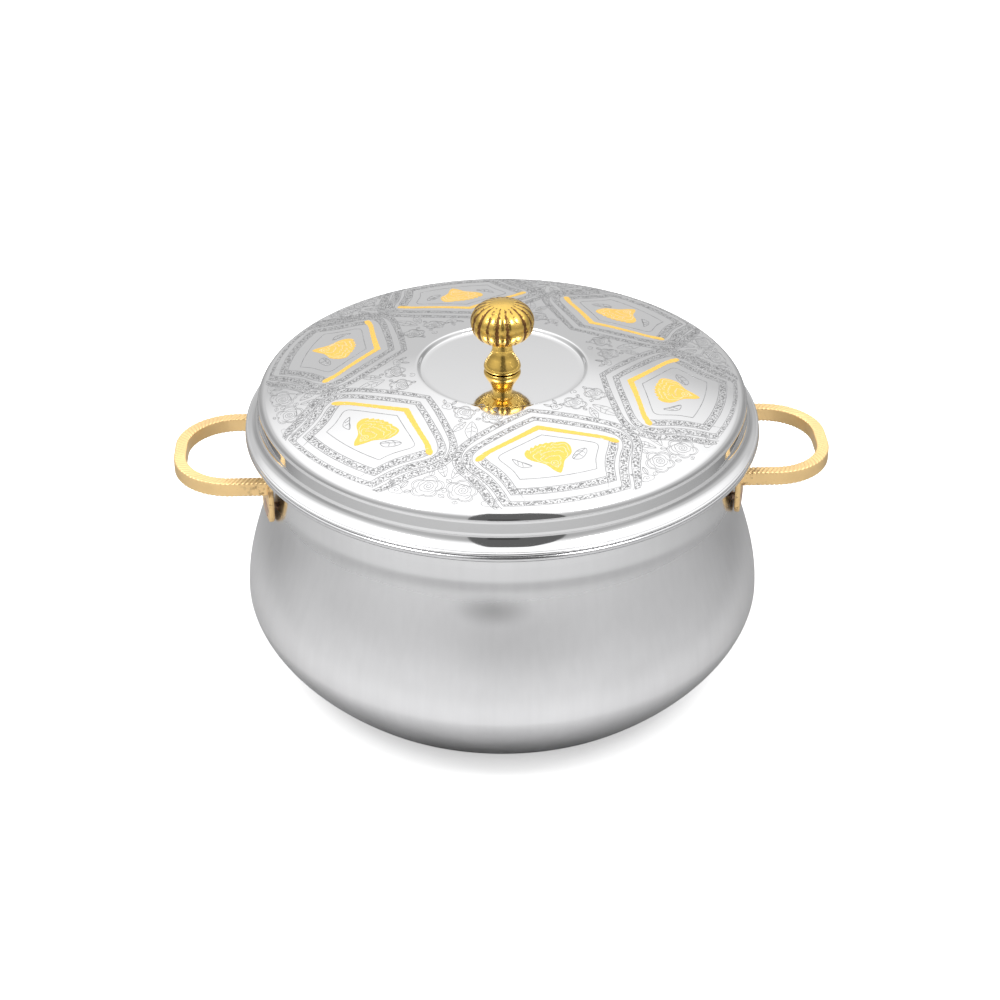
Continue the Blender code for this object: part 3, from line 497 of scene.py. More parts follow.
def turned_surface(line, closed=True, columns=TURN_COLUMNS):
    """A line (radius, height) carried round the Z axis; closed joins its last point to its first."""
    angles = np.arange(columns) * FULL_TURN / columns
    radius, height = line[:, 0][:, None], line[:, 1][:, None]
    points = np.stack([radius * np.cos(angles), radius * np.sin(angles), height + 0.0 * angles], axis=2)
    return grid_surface(points, wrap_rows=closed, wrap_columns=True)


def moved(surface, matrix):
    """A surface under a matrix."""
    points, faces, places = surface
    return points @ np.array(matrix.to_3x3()).T + np.array(matrix.translation), faces, places


def add_piece(name, surfaces, body, finish, replaces=()):
    """One object from surfaces: poles and seams closed, faces outward, on its body, for its nodes."""
    counts = np.cumsum([0] + [len(points) for points, _, _ in surfaces])
    vertices = np.vstack([points for points, _, _ in surfaces])
    faces = np.vstack([part[1] + start for part, start in zip(surfaces, counts)])
    places = np.vstack([part[2] for part in surfaces])
    mesh = bpy.data.meshes.new(name)
    mesh.vertices.add(len(vertices))
    mesh.vertices.foreach_set("co", vertices.astype(np.float32).ravel())
    mesh.loops.add(faces.size)
    mesh.loops.foreach_set("vertex_index", faces.astype(np.int32).ravel())
    mesh.polygons.add(len(faces))
    mesh.polygons.foreach_set("loop_start", np.arange(0, faces.size, 4, dtype=np.int32))
    mesh.update(calc_edges=True)
    layer = mesh.uv_layers.new(name="Map")
    layer.data.foreach_set("uv", places.astype(np.float32).ravel())
    shape = bmesh.new()
    shape.from_mesh(mesh)
    bmesh.ops.remove_doubles(shape, verts=shape.verts, dist=MERGE_DISTANCE)
    bmesh.ops.recalc_face_normals(shape, faces=shape.faces)
    shape.to_mesh(mesh)
    shape.free()
    mesh.shade_smooth()
    mesh.set_sharp_from_angle(angle=SHARP_ANGLE)
    mesh.materials.append(finish_of(finish))
    piece = bpy.data.objects.new(name, mesh)
    bpy.context.scene.collection.objects.link(piece)
    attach(piece, body)
    if replaces:
        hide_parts(*replaces)


# Shader trees

class Value:
    """One output socket of a finish, on which Python's operators add Math nodes."""

    def __init__(self, finish, socket):
        self.finish = finish
        self.socket = socket

    def math(self, operation, first, second=None):
        """A Math node on one or two values."""
        values = {0: first} if second is None else {0: first, 1: second}
        return self.finish.node("ShaderNodeMath", {"operation": operation}, values)

    def __add__(self, other):
        return self.math("ADD", self, other)

    __radd__ = __add__

    def __sub__(self, other):
        return self.math("SUBTRACT", self, other)

    def __rsub__(self, other):
        return self.math("SUBTRACT", other, self)

    def __mul__(self, other):
        return self.math("MULTIPLY", self, other)

    __rmul__ = __mul__

    def __truediv__(self, other):
        return self.math("DIVIDE", self, other)

    def __rtruediv__(self, other):
        return self.math("DIVIDE", other, self)

    def __abs__(self):
        return self.math("ABSOLUTE", self)


def opaque(colour):
    """A colour socket's value: a link as it is, and a colour with full cover."""
    return colour if isinstance(colour, Value) else (*colour, 1.0)


def shade(base, factor):
    """A colour made darker or lighter."""
    return tuple(min(part * factor, 1.0) for part in base)


class Finish:
    """A material, or the world, built from nodes."""

    def __init__(self, owner):
        owner.use_nodes = True
        self.owner = owner
        self.tree = owner.node_tree
        self.tree.nodes.clear()

    def node(self, kind, settings=None, values=None, output=0):
        """A node: its settings first, then its sockets' values or links; gives one of its outputs."""
        made = self.tree.nodes.new(kind)
        for name, setting in (settings or {}).items():
            if name == "stops":
                self.set_stops(made.color_ramp, setting)
            else:
                setattr(made, name, setting)
        for name, value in (values or {}).items():
            if isinstance(value, Value):
                self.tree.links.new(value.socket, made.inputs[name])
            else:
                made.inputs[name].default_value = value
        return Value(self, made.outputs[output]) if len(made.outputs) else None

    @staticmethod
    def set_stops(ramp, stops):
        """Give a ramp its stops (place, grey)."""
        while len(ramp.elements) < len(stops):
            ramp.elements.new(1.0)
        for element, (place, grey) in zip(ramp.elements, stops):
            element.position = place
            element.color = (grey, grey, grey, 1.0)

    def place(self):
        """The Object coordinates."""
        return self.node("ShaderNodeTexCoord", output="Object")

    def map_place(self):
        """The first two parts of the piece's own map."""
        return self.split(self.node("ShaderNodeTexCoord", output="UV"))[:2]

    def split(self, vector):
        """The three parts of a vector."""
        first = self.node("ShaderNodeSeparateXYZ", None, {0: vector})
        parts = first.socket.node.outputs
        return first, Value(self, parts[1]), Value(self, parts[2])

    def stretched(self, vector, scale):
        """A vector scaled along each axis."""
        return self.node("ShaderNodeVectorMath", {"operation": "MULTIPLY"}, {0: vector, 1: scale})

    def length(self, vector):
        """A vector's length."""
        return self.node("ShaderNodeVectorMath", {"operation": "LENGTH"}, {0: vector}, output="Value")

    def noise(self, vector, scale, detail=2.0, roughness=0.5, distortion=0.0):
        """A noise's value about 0.5."""
        return self.node("ShaderNodeTexNoise", None,
                         {"Vector": vector, "Scale": scale, "Detail": detail, "Roughness": roughness,
                          "Distortion": distortion})

    def ramp(self, value, stops):
        """A value put through grey stops."""
        return self.node("ShaderNodeValToRGB", {"stops": stops}, {0: value})

    def span(self, value, low, high, to_low=0.0, to_high=1.0, soft=False):
        """A value's span, stretched to another one and held inside it, with soft or plain ends."""
        return self.node("ShaderNodeMapRange", {"interpolation_type": "SMOOTHSTEP" if soft else "LINEAR"},
                         {"Value": value, "From Min": low, "From Max": high, "To Min": to_low,
                          "To Max": to_high})

    def blend(self, factor, first, second):
        """Two colours mixed."""
        return self.node("ShaderNodeMix", {"data_type": "RGBA"},
                         {0: factor, 6: opaque(first), 7: opaque(second)}, output=2)

    def tones(self, factor, base, low, high):
        """A colour between two shades of itself."""
        return self.blend(factor, shade(base, low), shade(base, high))

    def bump(self, height, distance, strength=1.0, normal=None):
        """A normal from a height."""
        values = {"Height": height, "Distance": distance, "Strength": strength}
        if normal is not None:
            values["Normal"] = normal
        return self.node("ShaderNodeBump", None, values)

    def surface(self, shader):
        """The material's output."""
        self.node("ShaderNodeOutputMaterial", None, {"Surface": shader})

    def metal(self, base, roughness, normal=None, metallic=1.0):
        """The finish's surface: a metal of a colour and a roughness."""
        values = {"Base Color": opaque(base), "Roughness": roughness, "Metallic": metallic}
        if normal is not None:
            values["Normal"] = normal
        self.surface(self.node("ShaderNodeBsdfPrincipled", None, values))

    def glow(self, tone, strength=1.0):
        """A glowing shader of a tone."""
        return self.node("ShaderNodeEmission", None, {"Color": opaque(tone), "Strength": strength})


def new_finish(name):
    """An empty material to build a finish in."""
    return Finish(bpy.data.materials.new(name))


def finish_of(maker):
    """A finish's material. At first use its maker gets an empty finish, its Object place and the colours."""
    name = maker.__name__ + "_finish"
    if name not in bpy.data.materials:
        made = new_finish(name)
        maker(made, made.place(), bpy.context.scene.casserole_finishes)
    return bpy.data.materials[name]


def satin_steel(made, place, colours):
    """The pot's outside: fine brushing, soft clouds, a painted shade that greys the upper half, a glossier
    neck and a painted dark reflection of the camera on the front.
    """
    _, _, height = made.split(place)
    clouds = made.noise(place, 22.0, 3.0, 0.55)
    brushing = made.noise(made.stretched(place, (40.0, 40.0, 800.0)), 1.0)
    upright = made.noise(made.stretched(place, (300.0, 300.0, 10.0)), 1.0)
    tone = made.span(clouds * 0.7 + upright * 0.3, 0.15, 0.85)
    base = made.tones(tone, colours.satin_steel, 0.905, 1.08)
    # Painted reflection: a soft dark patch where the camera is mirrored on the front, painted into the
    # colour.
    aside = made.node("ShaderNodeVectorMath", {"operation": "SUBTRACT"}, {0: place, 1: CAMERA_REFLECTION_PLACE})
    painted_camera_reflection = made.span(made.length(made.stretched(aside, CAMERA_REFLECTION_SPREAD)), 1.0, 0.0, soft=True) * 0.34
    # Painted shade: the satin's colour is darkened up the belly towards the neck, for how the light falls
    # there.
    painted_upper_shade = made.span(height, *PAINTED_SHADE_HEIGHTS, soft=True) * 0.17
    base = made.blend(painted_upper_shade + painted_camera_reflection, base, shade(colours.satin_steel, 0.1))
    roughness = made.span(clouds + upright * 0.4, 0.4, 1.0, 0.285, 0.355)
    roughness = roughness * made.span(height, *GLOSSY_HEIGHTS, 1.0, 0.35, soft=True)
    made.metal(base, roughness, made.bump(brushing, BRUSHING_DEPTH, 0.15))


def bright_steel(made, place, colours):
    """Bowl, base and liner: turned and polished sheet, with a painted shadow under the lip."""
    _, _, height = made.split(place)
    across = made.length(made.stretched(place, (1.0, 1.0, 0.0)))
    # Painted shadow: the bead's underside below the lip is darkened almost to black in the colour.
    lip_shadow = made.span(across, *LIP_SHADOW_RADII) * made.span(height, *(RIM_HEIGHT - drop for drop in LIP_SHADOW_DROPS))
    clouds = made.noise(place, 30.0)
    base = made.tones(made.span(clouds, 0.35, 0.65), colours.bright_steel, 0.96, 1.0)
    base = made.blend(lip_shadow * 0.92, base, shade(colours.bright_steel, 0.03))
    roughness = made.span(clouds, 0.35, 0.65, 0.15, 0.21)
    made.metal(base, roughness, made.bump(made.noise(place, 900.0), POLISH_DEPTH, 0.3))


def mirror_steel(made, place, colours):
    """The lid's cover: a mirror polish with a slight ripple and very fine haze."""
    ripple = made.noise(place, 16.0, 1.0)
    haze = made.noise(place, 70.0, 3.0, 0.6)
    specks = made.span(made.noise(place, 1100.0, 1.0), 0.70, 0.78)
    base = made.tones(specks * 0.12, colours.mirror_steel, 1.0, 0.6)
    made.metal(base, made.span(haze, 0.35, 0.7, 0.045, 0.085), made.bump(ripple, RIPPLE_DEPTH, 0.12))


def etched_steel(made, place, colours):
    """Engraved lines: darker and duller than the polished sheet."""
    depth = made.span(made.noise(place, 260.0), 0.35, 0.65)
    made.metal(made.tones(depth, colours.etched_steel, 1.0, 1.5), 0.5)


def stippled_steel(made, place, colours):
    """The bands: small worm-like marks, where a fine noise is high, on the polished sheet."""
    worms = made.span(made.noise(place, 1250.0, 1.0, 0.4, 0.5), 0.47, 0.55)
    _, across = made.map_place()
    marks = worms * made.span(0.5 - abs(across - 0.5), 0.08, 0.14)
    base = made.blend(marks * 0.95, shade(colours.mirror_steel, 0.98), shade(colours.etched_steel, 0.85))
    made.metal(base, made.span(marks, 0.0, 1.0, 0.08, 0.5))


def gold_inlay(made, place, colours):
    """The gold leaf in the chevrons and roses: grainy, worn thin at a few specks."""
    grain = made.noise(place, 900.0, 2.0, 0.6)
    wear = made.span(made.noise(place, 420.0, 3.0, 0.7), 0.66, 0.72)
    base = made.tones(made.span(grain, 0.3, 0.7), colours.gold_inlay, 0.9, 1.0)
    base = made.blend(wear * 0.6, base, colours.mirror_steel)
    made.metal(base, made.span(grain, 0.3, 0.7, 0.3, 0.42), made.bump(grain, LEAF_DEPTH, 0.5), 0.5)


def gold_shade(made, place, colours):
    """The petals' lines in the gold: worn pale."""
    grain = made.span(made.noise(place, 700.0), 0.3, 0.7, 0.2, 0.6)
    made.metal(made.blend(grain, colours.gold_inlay, colours.mirror_steel), 0.35, metallic=0.4)


def handle_brass(made, place, colours):
    """Handles: satin cast brass with tiny pits, and a dark stain on the legs near the pot."""
    side, _, _ = made.split(place)
    clouds = made.noise(place, 90.0, 3.0, 0.6)
    pits = made.span(made.noise(place, 1300.0, 2.0, 0.6), 0.68, 0.76)
    stain = made.span(abs(side), *STAIN_REACH) * made.span(made.noise(place, 260.0, 3.0, 0.7), 0.53, 0.64)
    base = made.tones(made.span(clouds, 0.3, 0.7), colours.handle_brass, 0.94, 1.0)
    base = made.blend(stain * 0.8, base, colours.handle_stain)
    base = made.blend(pits * 0.5, base, shade(colours.handle_brass, 0.5))
    normal = made.bump(made.noise(place, 500.0, 3.0, 0.6), CAST_DEPTH, 0.15)
    normal = made.bump(1.0 - pits, PIT_DEPTH, 0.4, normal)
    made.metal(base, made.span(clouds, 0.3, 0.7, 0.28, 0.38), normal, 0.6)


def knob_brass(made, place, colours):
    """Knob: polished brass, dark patina in the grooves and in specks, most at the top."""
    groove, pole = made.map_place()
    patches = made.noise(place, 700.0, 4.0, 0.75)
    fine = made.noise(place, 2300.0, 2.0, 0.6)
    specks = made.span(made.noise(place, 1300.0, 3.0, 0.7), 0.60, 0.66) * (pole * 0.9 + 0.16)
    dark = made.span(groove + (patches - 0.5) * 2.1 + (fine - 0.5) * 0.9, 0.36, 0.46)
    dark = dark.math("MAXIMUM", dark, specks)
    base = made.tones(made.noise(place, 150.0, 3.0), colours.knob_brass, 0.88, 1.06)
    patina = made.tones(made.span(fine, 0.42, 0.66), colours.patina, 1.0, 4.2)
    base = made.blend(dark * 0.94, base, patina)
    made.metal(base, made.span(dark, 0.0, 1.0, 0.21, 0.55), made.bump(patches * dark, PATINA_DEPTH, 0.4))


def rivet_brass(made, place, colours):
    """Rivets: matt reddish brass, hammered flat."""
    clouds = made.noise(place, 420.0, 3.0, 0.6)
    base = made.tones(clouds, colours.rivet_brass, 0.7, 1.15)
    made.metal(base, made.span(clouds, 0.3, 0.7, 0.3, 0.5), made.bump(clouds, HAMMERED_DEPTH, 0.4))


def foam(made, place, colours):
    """Insulation: rigid foam with fine cells."""
    cells = made.node("ShaderNodeTexVoronoi", None, {"Vector": place, "Scale": 900.0})
    base = made.tones(made.noise(place, 60.0, 3.0), colours.foam, 0.85, 1.05)
    made.metal(base, 0.9, made.bump(cells, CELL_DEPTH, 0.5), 0.0)


def dress_nodes(names, finish):
    """Give kept CAD nodes a finish."""
    for name in names:
        materials = frame["nodes"][name].data.materials
        materials.clear()
        materials.append(finish_of(finish))


# Pot

def shell_line(pot):
    """The shell from its lip down: an elliptic cove, half a cosine wave, a power curve and the foot."""
    neck_radius = pot.rim_radius - pot.neck_inset
    neck_height = pot.rim_height - pot.neck_drop
    flange = pot.rim_height - 2.0 * pot.sheet - pot.gap
    lower_radius = pot.belly_radius - pot.lower_inset
    foot_radius = lower_radius - pot.foot_bend_width
    cove = arc((neck_radius + pot.cove_width, flange - pot.cove_height), (pot.cove_width, pot.cove_height),
               math.pi / 2, math.pi, 20)
    upper = wave((neck_radius, neck_height), (pot.belly_radius, pot.belly_height), 48)
    heights = np.linspace(pot.belly_height, pot.foot_bend_height, 32)
    shares = 1.0 - heights / pot.belly_height
    lower = np.stack([pot.belly_radius - pot.lower_inset * shares ** pot.lower_power, heights], axis=1)
    slope = pot.lower_power * pot.lower_inset / pot.belly_height * shares[-1] ** (pot.lower_power - 1.0)
    foot = bend(lower[-1], (lower[-1][0] - pot.foot_bend_height * slope, 0.0), (foot_radius, 0.0), 12)
    opening = (foot_radius - pot.foot_ring_width, 0.0)
    return join_lines([(pot.rim_radius - pot.bead_radius, flange)], cove, upper, lower, foot, [opening])


def bowl_line(pot):
    """The bowl from its floor up: corner arc, half wave, straight mouth, roll and curled bead."""
    wall_radius = pot.belly_radius - pot.bowl_inset
    mouth_radius = pot.rim_radius - pot.mouth_inset
    corner = arc((wall_radius - pot.bowl_corner, pot.bowl_floor + pot.bowl_corner), pot.bowl_corner,
                 -math.pi / 2, 0.0, 24)
    wall = wave(corner[-1], (mouth_radius, pot.rim_height - pot.mouth_depth), 24)
    roll = arc((mouth_radius + pot.mouth_bend, pot.rim_height - pot.mouth_bend), pot.mouth_bend,
               math.pi, math.pi / 2, 8)
    bead_centre = (pot.rim_radius - pot.bead_radius, pot.rim_height - pot.bead_radius)
    bead = arc(bead_centre, pot.bead_radius, math.pi / 2, pot.bead_end, 18)
    floor = straight((0.0, pot.bowl_floor), corner[0], 8)
    return join_lines(floor, corner, wall, roll, bead)


def base_line(pot):
    """The base plate from its edge to its centre, with a shallow dish."""
    foot_radius = pot.belly_radius - pot.lower_inset - pot.foot_bend_width
    dish_radius = foot_radius - pot.foot_ring_width - pot.dish_inset
    height = pot.sheet + pot.gap
    dish = height + pot.dish_depth
    slope = wave((dish_radius + pot.dish_slope, height), (dish_radius, dish), 8)
    return join_lines([(foot_radius - pot.base_margin, height)], slope,
                      straight((dish_radius, dish), (0.0, dish), 8))


def add_sheet(name, line, sheet, body, finish, node, closed=False, lift=0.0):
    """A turned piece of bent sheet: its visible line, walled and lifted, in place of its solid."""
    surface = turned_surface(sheet_section(line, sheet), closed)
    add_piece(name, [moved(surface, Matrix.Translation((0.0, 0.0, lift)))], body, finish, [node])


class MESH_OT_casserole_pot(bpy.types.Operator):
    """Build the shell, the bowl and the base plate"""

    bl_idname = "mesh.casserole_pot"
    bl_label = "Pot"

    def execute(self, context):
        pot = context.scene.casserole_pot
        add_sheet("satin_shell", shell_line(pot), pot.sheet, "pot", satin_steel,
                  "outer_shell", closed=True)
        add_sheet("polished_bowl", bowl_line(pot), pot.sheet, "pot", bright_steel,
                  "inner_bowl")
        add_sheet("dished_base", base_line(pot), pot.sheet, "pot", bright_steel,
                  "base_plate")
        washers = [name for name in frame["nodes"] if name.startswith("rivet_washer")]
        dress_nodes(washers + ["knob_screw", "knob_washer"], bright_steel)
        dress_nodes(["wall_insulation", "lid_insulation"], foam)
        return {"FINISHED"}


# Handles

def loop_path(handle, count):
    """The bar's middle line seen from above: two legs, two quarter turns and a straight, evenly spaced."""
    half_bar = handle.bar_width / 2.0
    side = handle.half_width - half_bar
    middle = handle.ear_distance + handle.ear_thickness / 2.0
    start = (middle - side * math.sin(handle.ear_azimuth)) / math.cos(handle.ear_azimuth)
    radius = handle.corner - half_bar
    centre = (handle.reach - handle.corner, handle.half_width - handle.corner)
    front = arc((centre[0], -centre[1]), radius, -math.pi / 2, 0.0, 64)
    back = arc(centre, radius, 0.0, math.pi / 2, 64)
    return even_line(join_lines([(start, -side)], front, back, [(start, side)]), count)


def bar_section(handle):
    """The bar's section (across, up): a rectangle with four rounded edges, finely divided on top."""
    wide = handle.bar_width / 2.0 - handle.edge
    high = handle.bar_height / 2.0 - handle.edge
    centres = ((wide, high), (-wide, high), (-wide, -high), (wide, -high))
    corners = [arc(centre, handle.edge, quarter * math.pi / 2, (quarter + 1) * math.pi / 2, 5)
               for quarter, centre in enumerate(centres)]
    sides = [straight(corners[place][-1], corners[(place + 1) % 4][0], steps)
             for place, steps in enumerate((12, 5, 12, 5))]
    return join_lines(*(line for pair in zip(corners, sides) for line in pair))[:-1]


def loop_surface(handle):
    """The bar carried along the loop. Top and bottom sink between slanted ridges by a power of a sine."""
    path = loop_path(handle, LOOP_ROWS)
    outward = to_right(unit(np.gradient(path, axis=0)))
    section = bar_section(handle)
    across, up = section[:, 0][None, :], section[:, 1][None, :]
    distance = travelled(path)[:, None]
    half_height = handle.bar_height / 2.0
    share = np.clip((np.abs(up) - half_height + 2.0 * handle.edge) / (2.0 * handle.edge), 0.0, 1.0)
    phase = (distance + np.sign(up) * handle.ridge_slant * across) / handle.ridge_pitch
    wobble = 0.35 * np.sin(distance / handle.ridge_pitch * 1.37)
    wobble = wobble + 0.25 * np.sin(distance / handle.ridge_wander)
    valley = 1.0 - np.abs(np.sin(math.pi * (phase + 0.12 * wobble))) ** 0.6
    sink = handle.ridge_depth * valley * share
    height = handle.top - half_height + up - np.sign(up) * sink
    spread = across * (1.0 - 0.5 * sink / handle.bar_width)
    flat = path[:, None, :] + outward[:, None, :] * spread[:, :, None]
    return grid_surface(capped(np.concatenate([flat, height[:, :, None]], axis=2)), wrap_columns=True)


def ear_surface(handle, azimuth):
    """An ear: rings round its rivet hole, from the seat over the face and the rounded edge to the back."""
    top = handle.top - handle.ear_top_drop
    half = handle.ear_width / 2.0
    low = handle.ear_bottom + handle.ear_corner
    side = half - handle.ear_corner
    edge, thick = handle.edge, handle.ear_thickness
    right = arc((side, low), handle.ear_corner, 0.0, -math.pi / 2, 10)
    left = arc((-side, low), handle.ear_corner, -math.pi / 2, -math.pi, 10)
    outline = even_line(join_lines([(half, top)], right, left, [(-half, top)]), EAR_COLUMNS,
                        closed=True)
    inner = offset_line(outline, edge, closed=True)
    centre = np.array([0.0, handle.ear_bottom + handle.rivet_rise])
    ray = unit(outline - centre)
    seat = thick + handle.rivet_proud - handle.rivet_head_thickness - handle.rivet_gap
    bore = centre + ray * (handle.rivet_shank + handle.rivet_gap)
    sink = centre + ray * (handle.rivet_head + handle.rivet_gap)
    mouth = sink + ray * handle.rivet_sink
    turns = np.linspace(0.0, math.pi / 2, 6)
    rings = [(bore, 0.0), (bore, seat), (sink, seat), (sink, thick - handle.rivet_sink)]
    rings += [(mouth + (inner - mouth) * share, thick) for share in np.linspace(0.0, 1.0, 11)]
    rings += [(inner + (outline - inner) * math.sin(angle), thick - edge + edge * math.cos(angle))
              for angle in turns[1:]]
    rings += [(outline + (inner - outline) * (1.0 - math.cos(angle)), edge - edge * math.sin(angle))
              for angle in turns]
    rings += [(inner + (bore - inner) * share, 0.0) for share in np.linspace(0.0, 1.0, 8)[1:-1]]
    flat = np.stack([ring for ring, _ in rings])
    out = handle.ear_distance + np.array([depth for _, depth in rings])[:, None]
    grid = np.stack([*facing(out, flat[:, :, 0], azimuth), flat[:, :, 1]], axis=2)
    return grid_surface(grid, wrap_rows=True, wrap_columns=True)


class MESH_OT_casserole_handles(bpy.types.Operator):
    """Build the two hatched brass handles with their ears"""

    bl_idname = "mesh.casserole_handles"
    bl_label = "Handles"

    def execute(self, context):
        handle = context.scene.casserole_handle
        one = [loop_surface(handle), ear_surface(handle, -handle.ear_azimuth),
               ear_surface(handle, handle.ear_azimuth)]
        for side, angle in (("right", 0.0), ("left", math.pi)):
            surfaces = [moved(surface, Matrix.Rotation(angle, 4, "Z")) for surface in one]
            add_piece("hatched_handle_" + side, surfaces, "pot", handle_brass,
                      ["handle_" + side])
        return {"FINISHED"}


def rivet_line(handle, tail_end):
    """A rivet from head to tail: a low dome, a round rim, the shank and a tapered tail."""
    rim = handle.rivet_rim
    head_top = handle.ear_distance + handle.ear_thickness + handle.rivet_proud
    tail_top = tail_end + handle.tail_length
    crown, slope = head_top + handle.rivet_crown, head_top - handle.rivet_slope
    head = bend((0.0, crown), (handle.rivet_head * 0.6, crown), (handle.rivet_head - rim, slope), 8)
    corner = arc((handle.rivet_head - rim, slope - rim), rim, math.pi / 2, 0.0, 5)
    under = head_top - handle.rivet_head_thickness
    return join_lines(head, corner, [(handle.rivet_head, under), (handle.rivet_shank, under),
                                     (handle.rivet_shank, tail_top), (handle.rivet_tail, tail_top),
                                     (handle.rivet_shank, tail_end), (0.0, tail_end)])


class MESH_OT_casserole_rivets(bpy.types.Operator):
    """Build the four rivets in their ears"""

    bl_idname = "mesh.casserole_rivets"
    bl_label = "Rivets"

    def execute(self, context):
        handle = context.scene.casserole_handle
        ear = handle.ear_azimuth
        places = {"right_front": -ear, "right_back": ear, "left_back": math.pi - ear,
                  "left_front": math.pi + ear}
        low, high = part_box("rivet_right_back")
        tail_end = math.hypot(low.x, (low.y + high.y) / 2.0) - handle.tail_spare
        rivet = turned_surface(rivet_line(handle, tail_end), closed=False, columns=SMALL_TURN_COLUMNS)
        height = handle.ear_bottom + handle.rivet_rise
        for place, azimuth in places.items():
            stand = (Matrix.Translation((0.0, 0.0, height)) @ Matrix.Rotation(azimuth, 4, "Z")
                     @ Matrix.Rotation(math.pi / 2, 4, "Y"))
            add_piece("set_rivet_" + place, [moved(rivet, stand)], "pot", rivet_brass,
                      ["rivet_" + place])
        return {"FINISHED"}


# Lid

def dome_height(lid, radius):
    """The dome over the rim: a wide sphere through the recess's edge."""
    sphere = lid.crown_radius ** 2
    return lid.crown_height + np.sqrt(sphere - radius ** 2) - math.sqrt(sphere - lid.recess_radius ** 2)


def shoulder_place(lid):
    """The shoulder's centre (radius, height over the rim), and its tilt and radius at the dome's edge."""
    centre_radius = lid.brim_radius - lid.skirt_inset - lid.shoulder
    meet = centre_radius / (1.0 - lid.shoulder / lid.crown_radius)
    tilt = math.asin(meet / lid.crown_radius)
    return (centre_radius, float(dome_height(lid, meet)) - lid.shoulder * math.cos(tilt)), tilt, meet


def top_height(lid, radius):
    """The cover's height over the rim at a radius, on the dome or on its shoulder."""
    centre, _, meet = shoulder_place(lid)
    on_shoulder = np.sqrt(np.maximum(lid.shoulder ** 2 - (radius - centre[0]) ** 2, 0.0)) + centre[1]
    return np.where(radius < meet, dome_height(lid, np.minimum(radius, meet)), on_shoulder)


def cover_line(lid, gap):
    """The cover from its screw hole out: recess, dome, shoulder, skirt, cove, rolled hem and leaf."""
    floor = lid.crown_height - lid.recess_depth
    centre, tilt, meet = shoulder_place(lid)
    skirt = lid.brim_radius - lid.skirt_inset
    hem_height = gap + lid.hem_radius
    hem_centre = lid.brim_radius - lid.hem_radius
    tilt_cos, tilt_sin = math.cos(lid.brim_tilt), math.sin(lid.brim_tilt)
    brim_end = (hem_centre + lid.hem_radius * tilt_cos, hem_height + lid.hem_radius * tilt_sin)
    flat = brim_end[0] - skirt - lid.cove * (1.0 - tilt_cos)
    cove_height = brim_end[1] + flat * tilt_cos / tilt_sin + lid.cove * tilt_sin
    recess = straight((lid.screw_hole, floor), (lid.recess_radius - lid.recess_wall, floor), 16)
    wall = wave(recess[-1][::-1], (lid.crown_height, lid.recess_radius), 20)[:, ::-1]
    radii = np.linspace(lid.recess_radius, meet, 60)
    dome = np.stack([radii, dome_height(lid, radii)], axis=1)
    shoulder = arc(centre, lid.shoulder, math.pi / 2 - tilt, 0.0, 20)
    cove = arc((skirt + lid.cove, cove_height), lid.cove, math.pi, math.pi + lid.brim_tilt, 24)
    hem = arc((hem_centre, hem_height), lid.hem_radius, lid.brim_tilt, -math.pi / 2, 16)
    return join_lines(recess, wall, dome, shoulder, cove, hem, [(hem_centre - lid.hem_leaf, gap)])


def liner_line(lid, pot):
    """The liner's underside from its flange in: bend, plug wall, corner and flat floor."""
    flange = pot.gap + pot.sheet + pot.gap
    plug = pot.rim_radius - pot.mouth_inset - lid.plug_clearance
    edge = [(lid.brim_radius - lid.hem_radius - pot.gap, flange)]
    top = arc((plug + lid.plug_bend, flange - lid.plug_bend), lid.plug_bend, math.pi / 2, math.pi, 8)
    corner = arc((plug - lid.plug_corner, lid.plug_corner - lid.plug_depth), lid.plug_corner,
                 0.0, -math.pi / 2, 10)
    floor = straight(corner[-1], (0.0, -lid.plug_depth), 10)
    return join_lines(edge, top, corner, floor)


class MESH_OT_casserole_lid(bpy.types.Operator):
    """Build the polished cover and the liner under it"""

    bl_idname = "mesh.casserole_lid"
    bl_label = "Lid"

    def execute(self, context):
        lid = context.scene.casserole_lid
        pot = context.scene.casserole_pot
        add_sheet("polished_cover", cover_line(lid, pot.gap), pot.sheet, "lid", mirror_steel,
                  "lid_cover", closed=True, lift=pot.rim_height)
        add_sheet("pressed_liner", liner_line(lid, pot), pot.sheet, "lid", bright_steel,
                  "lid_liner", lift=pot.rim_height)
        return {"FINISHED"}


# Ornament

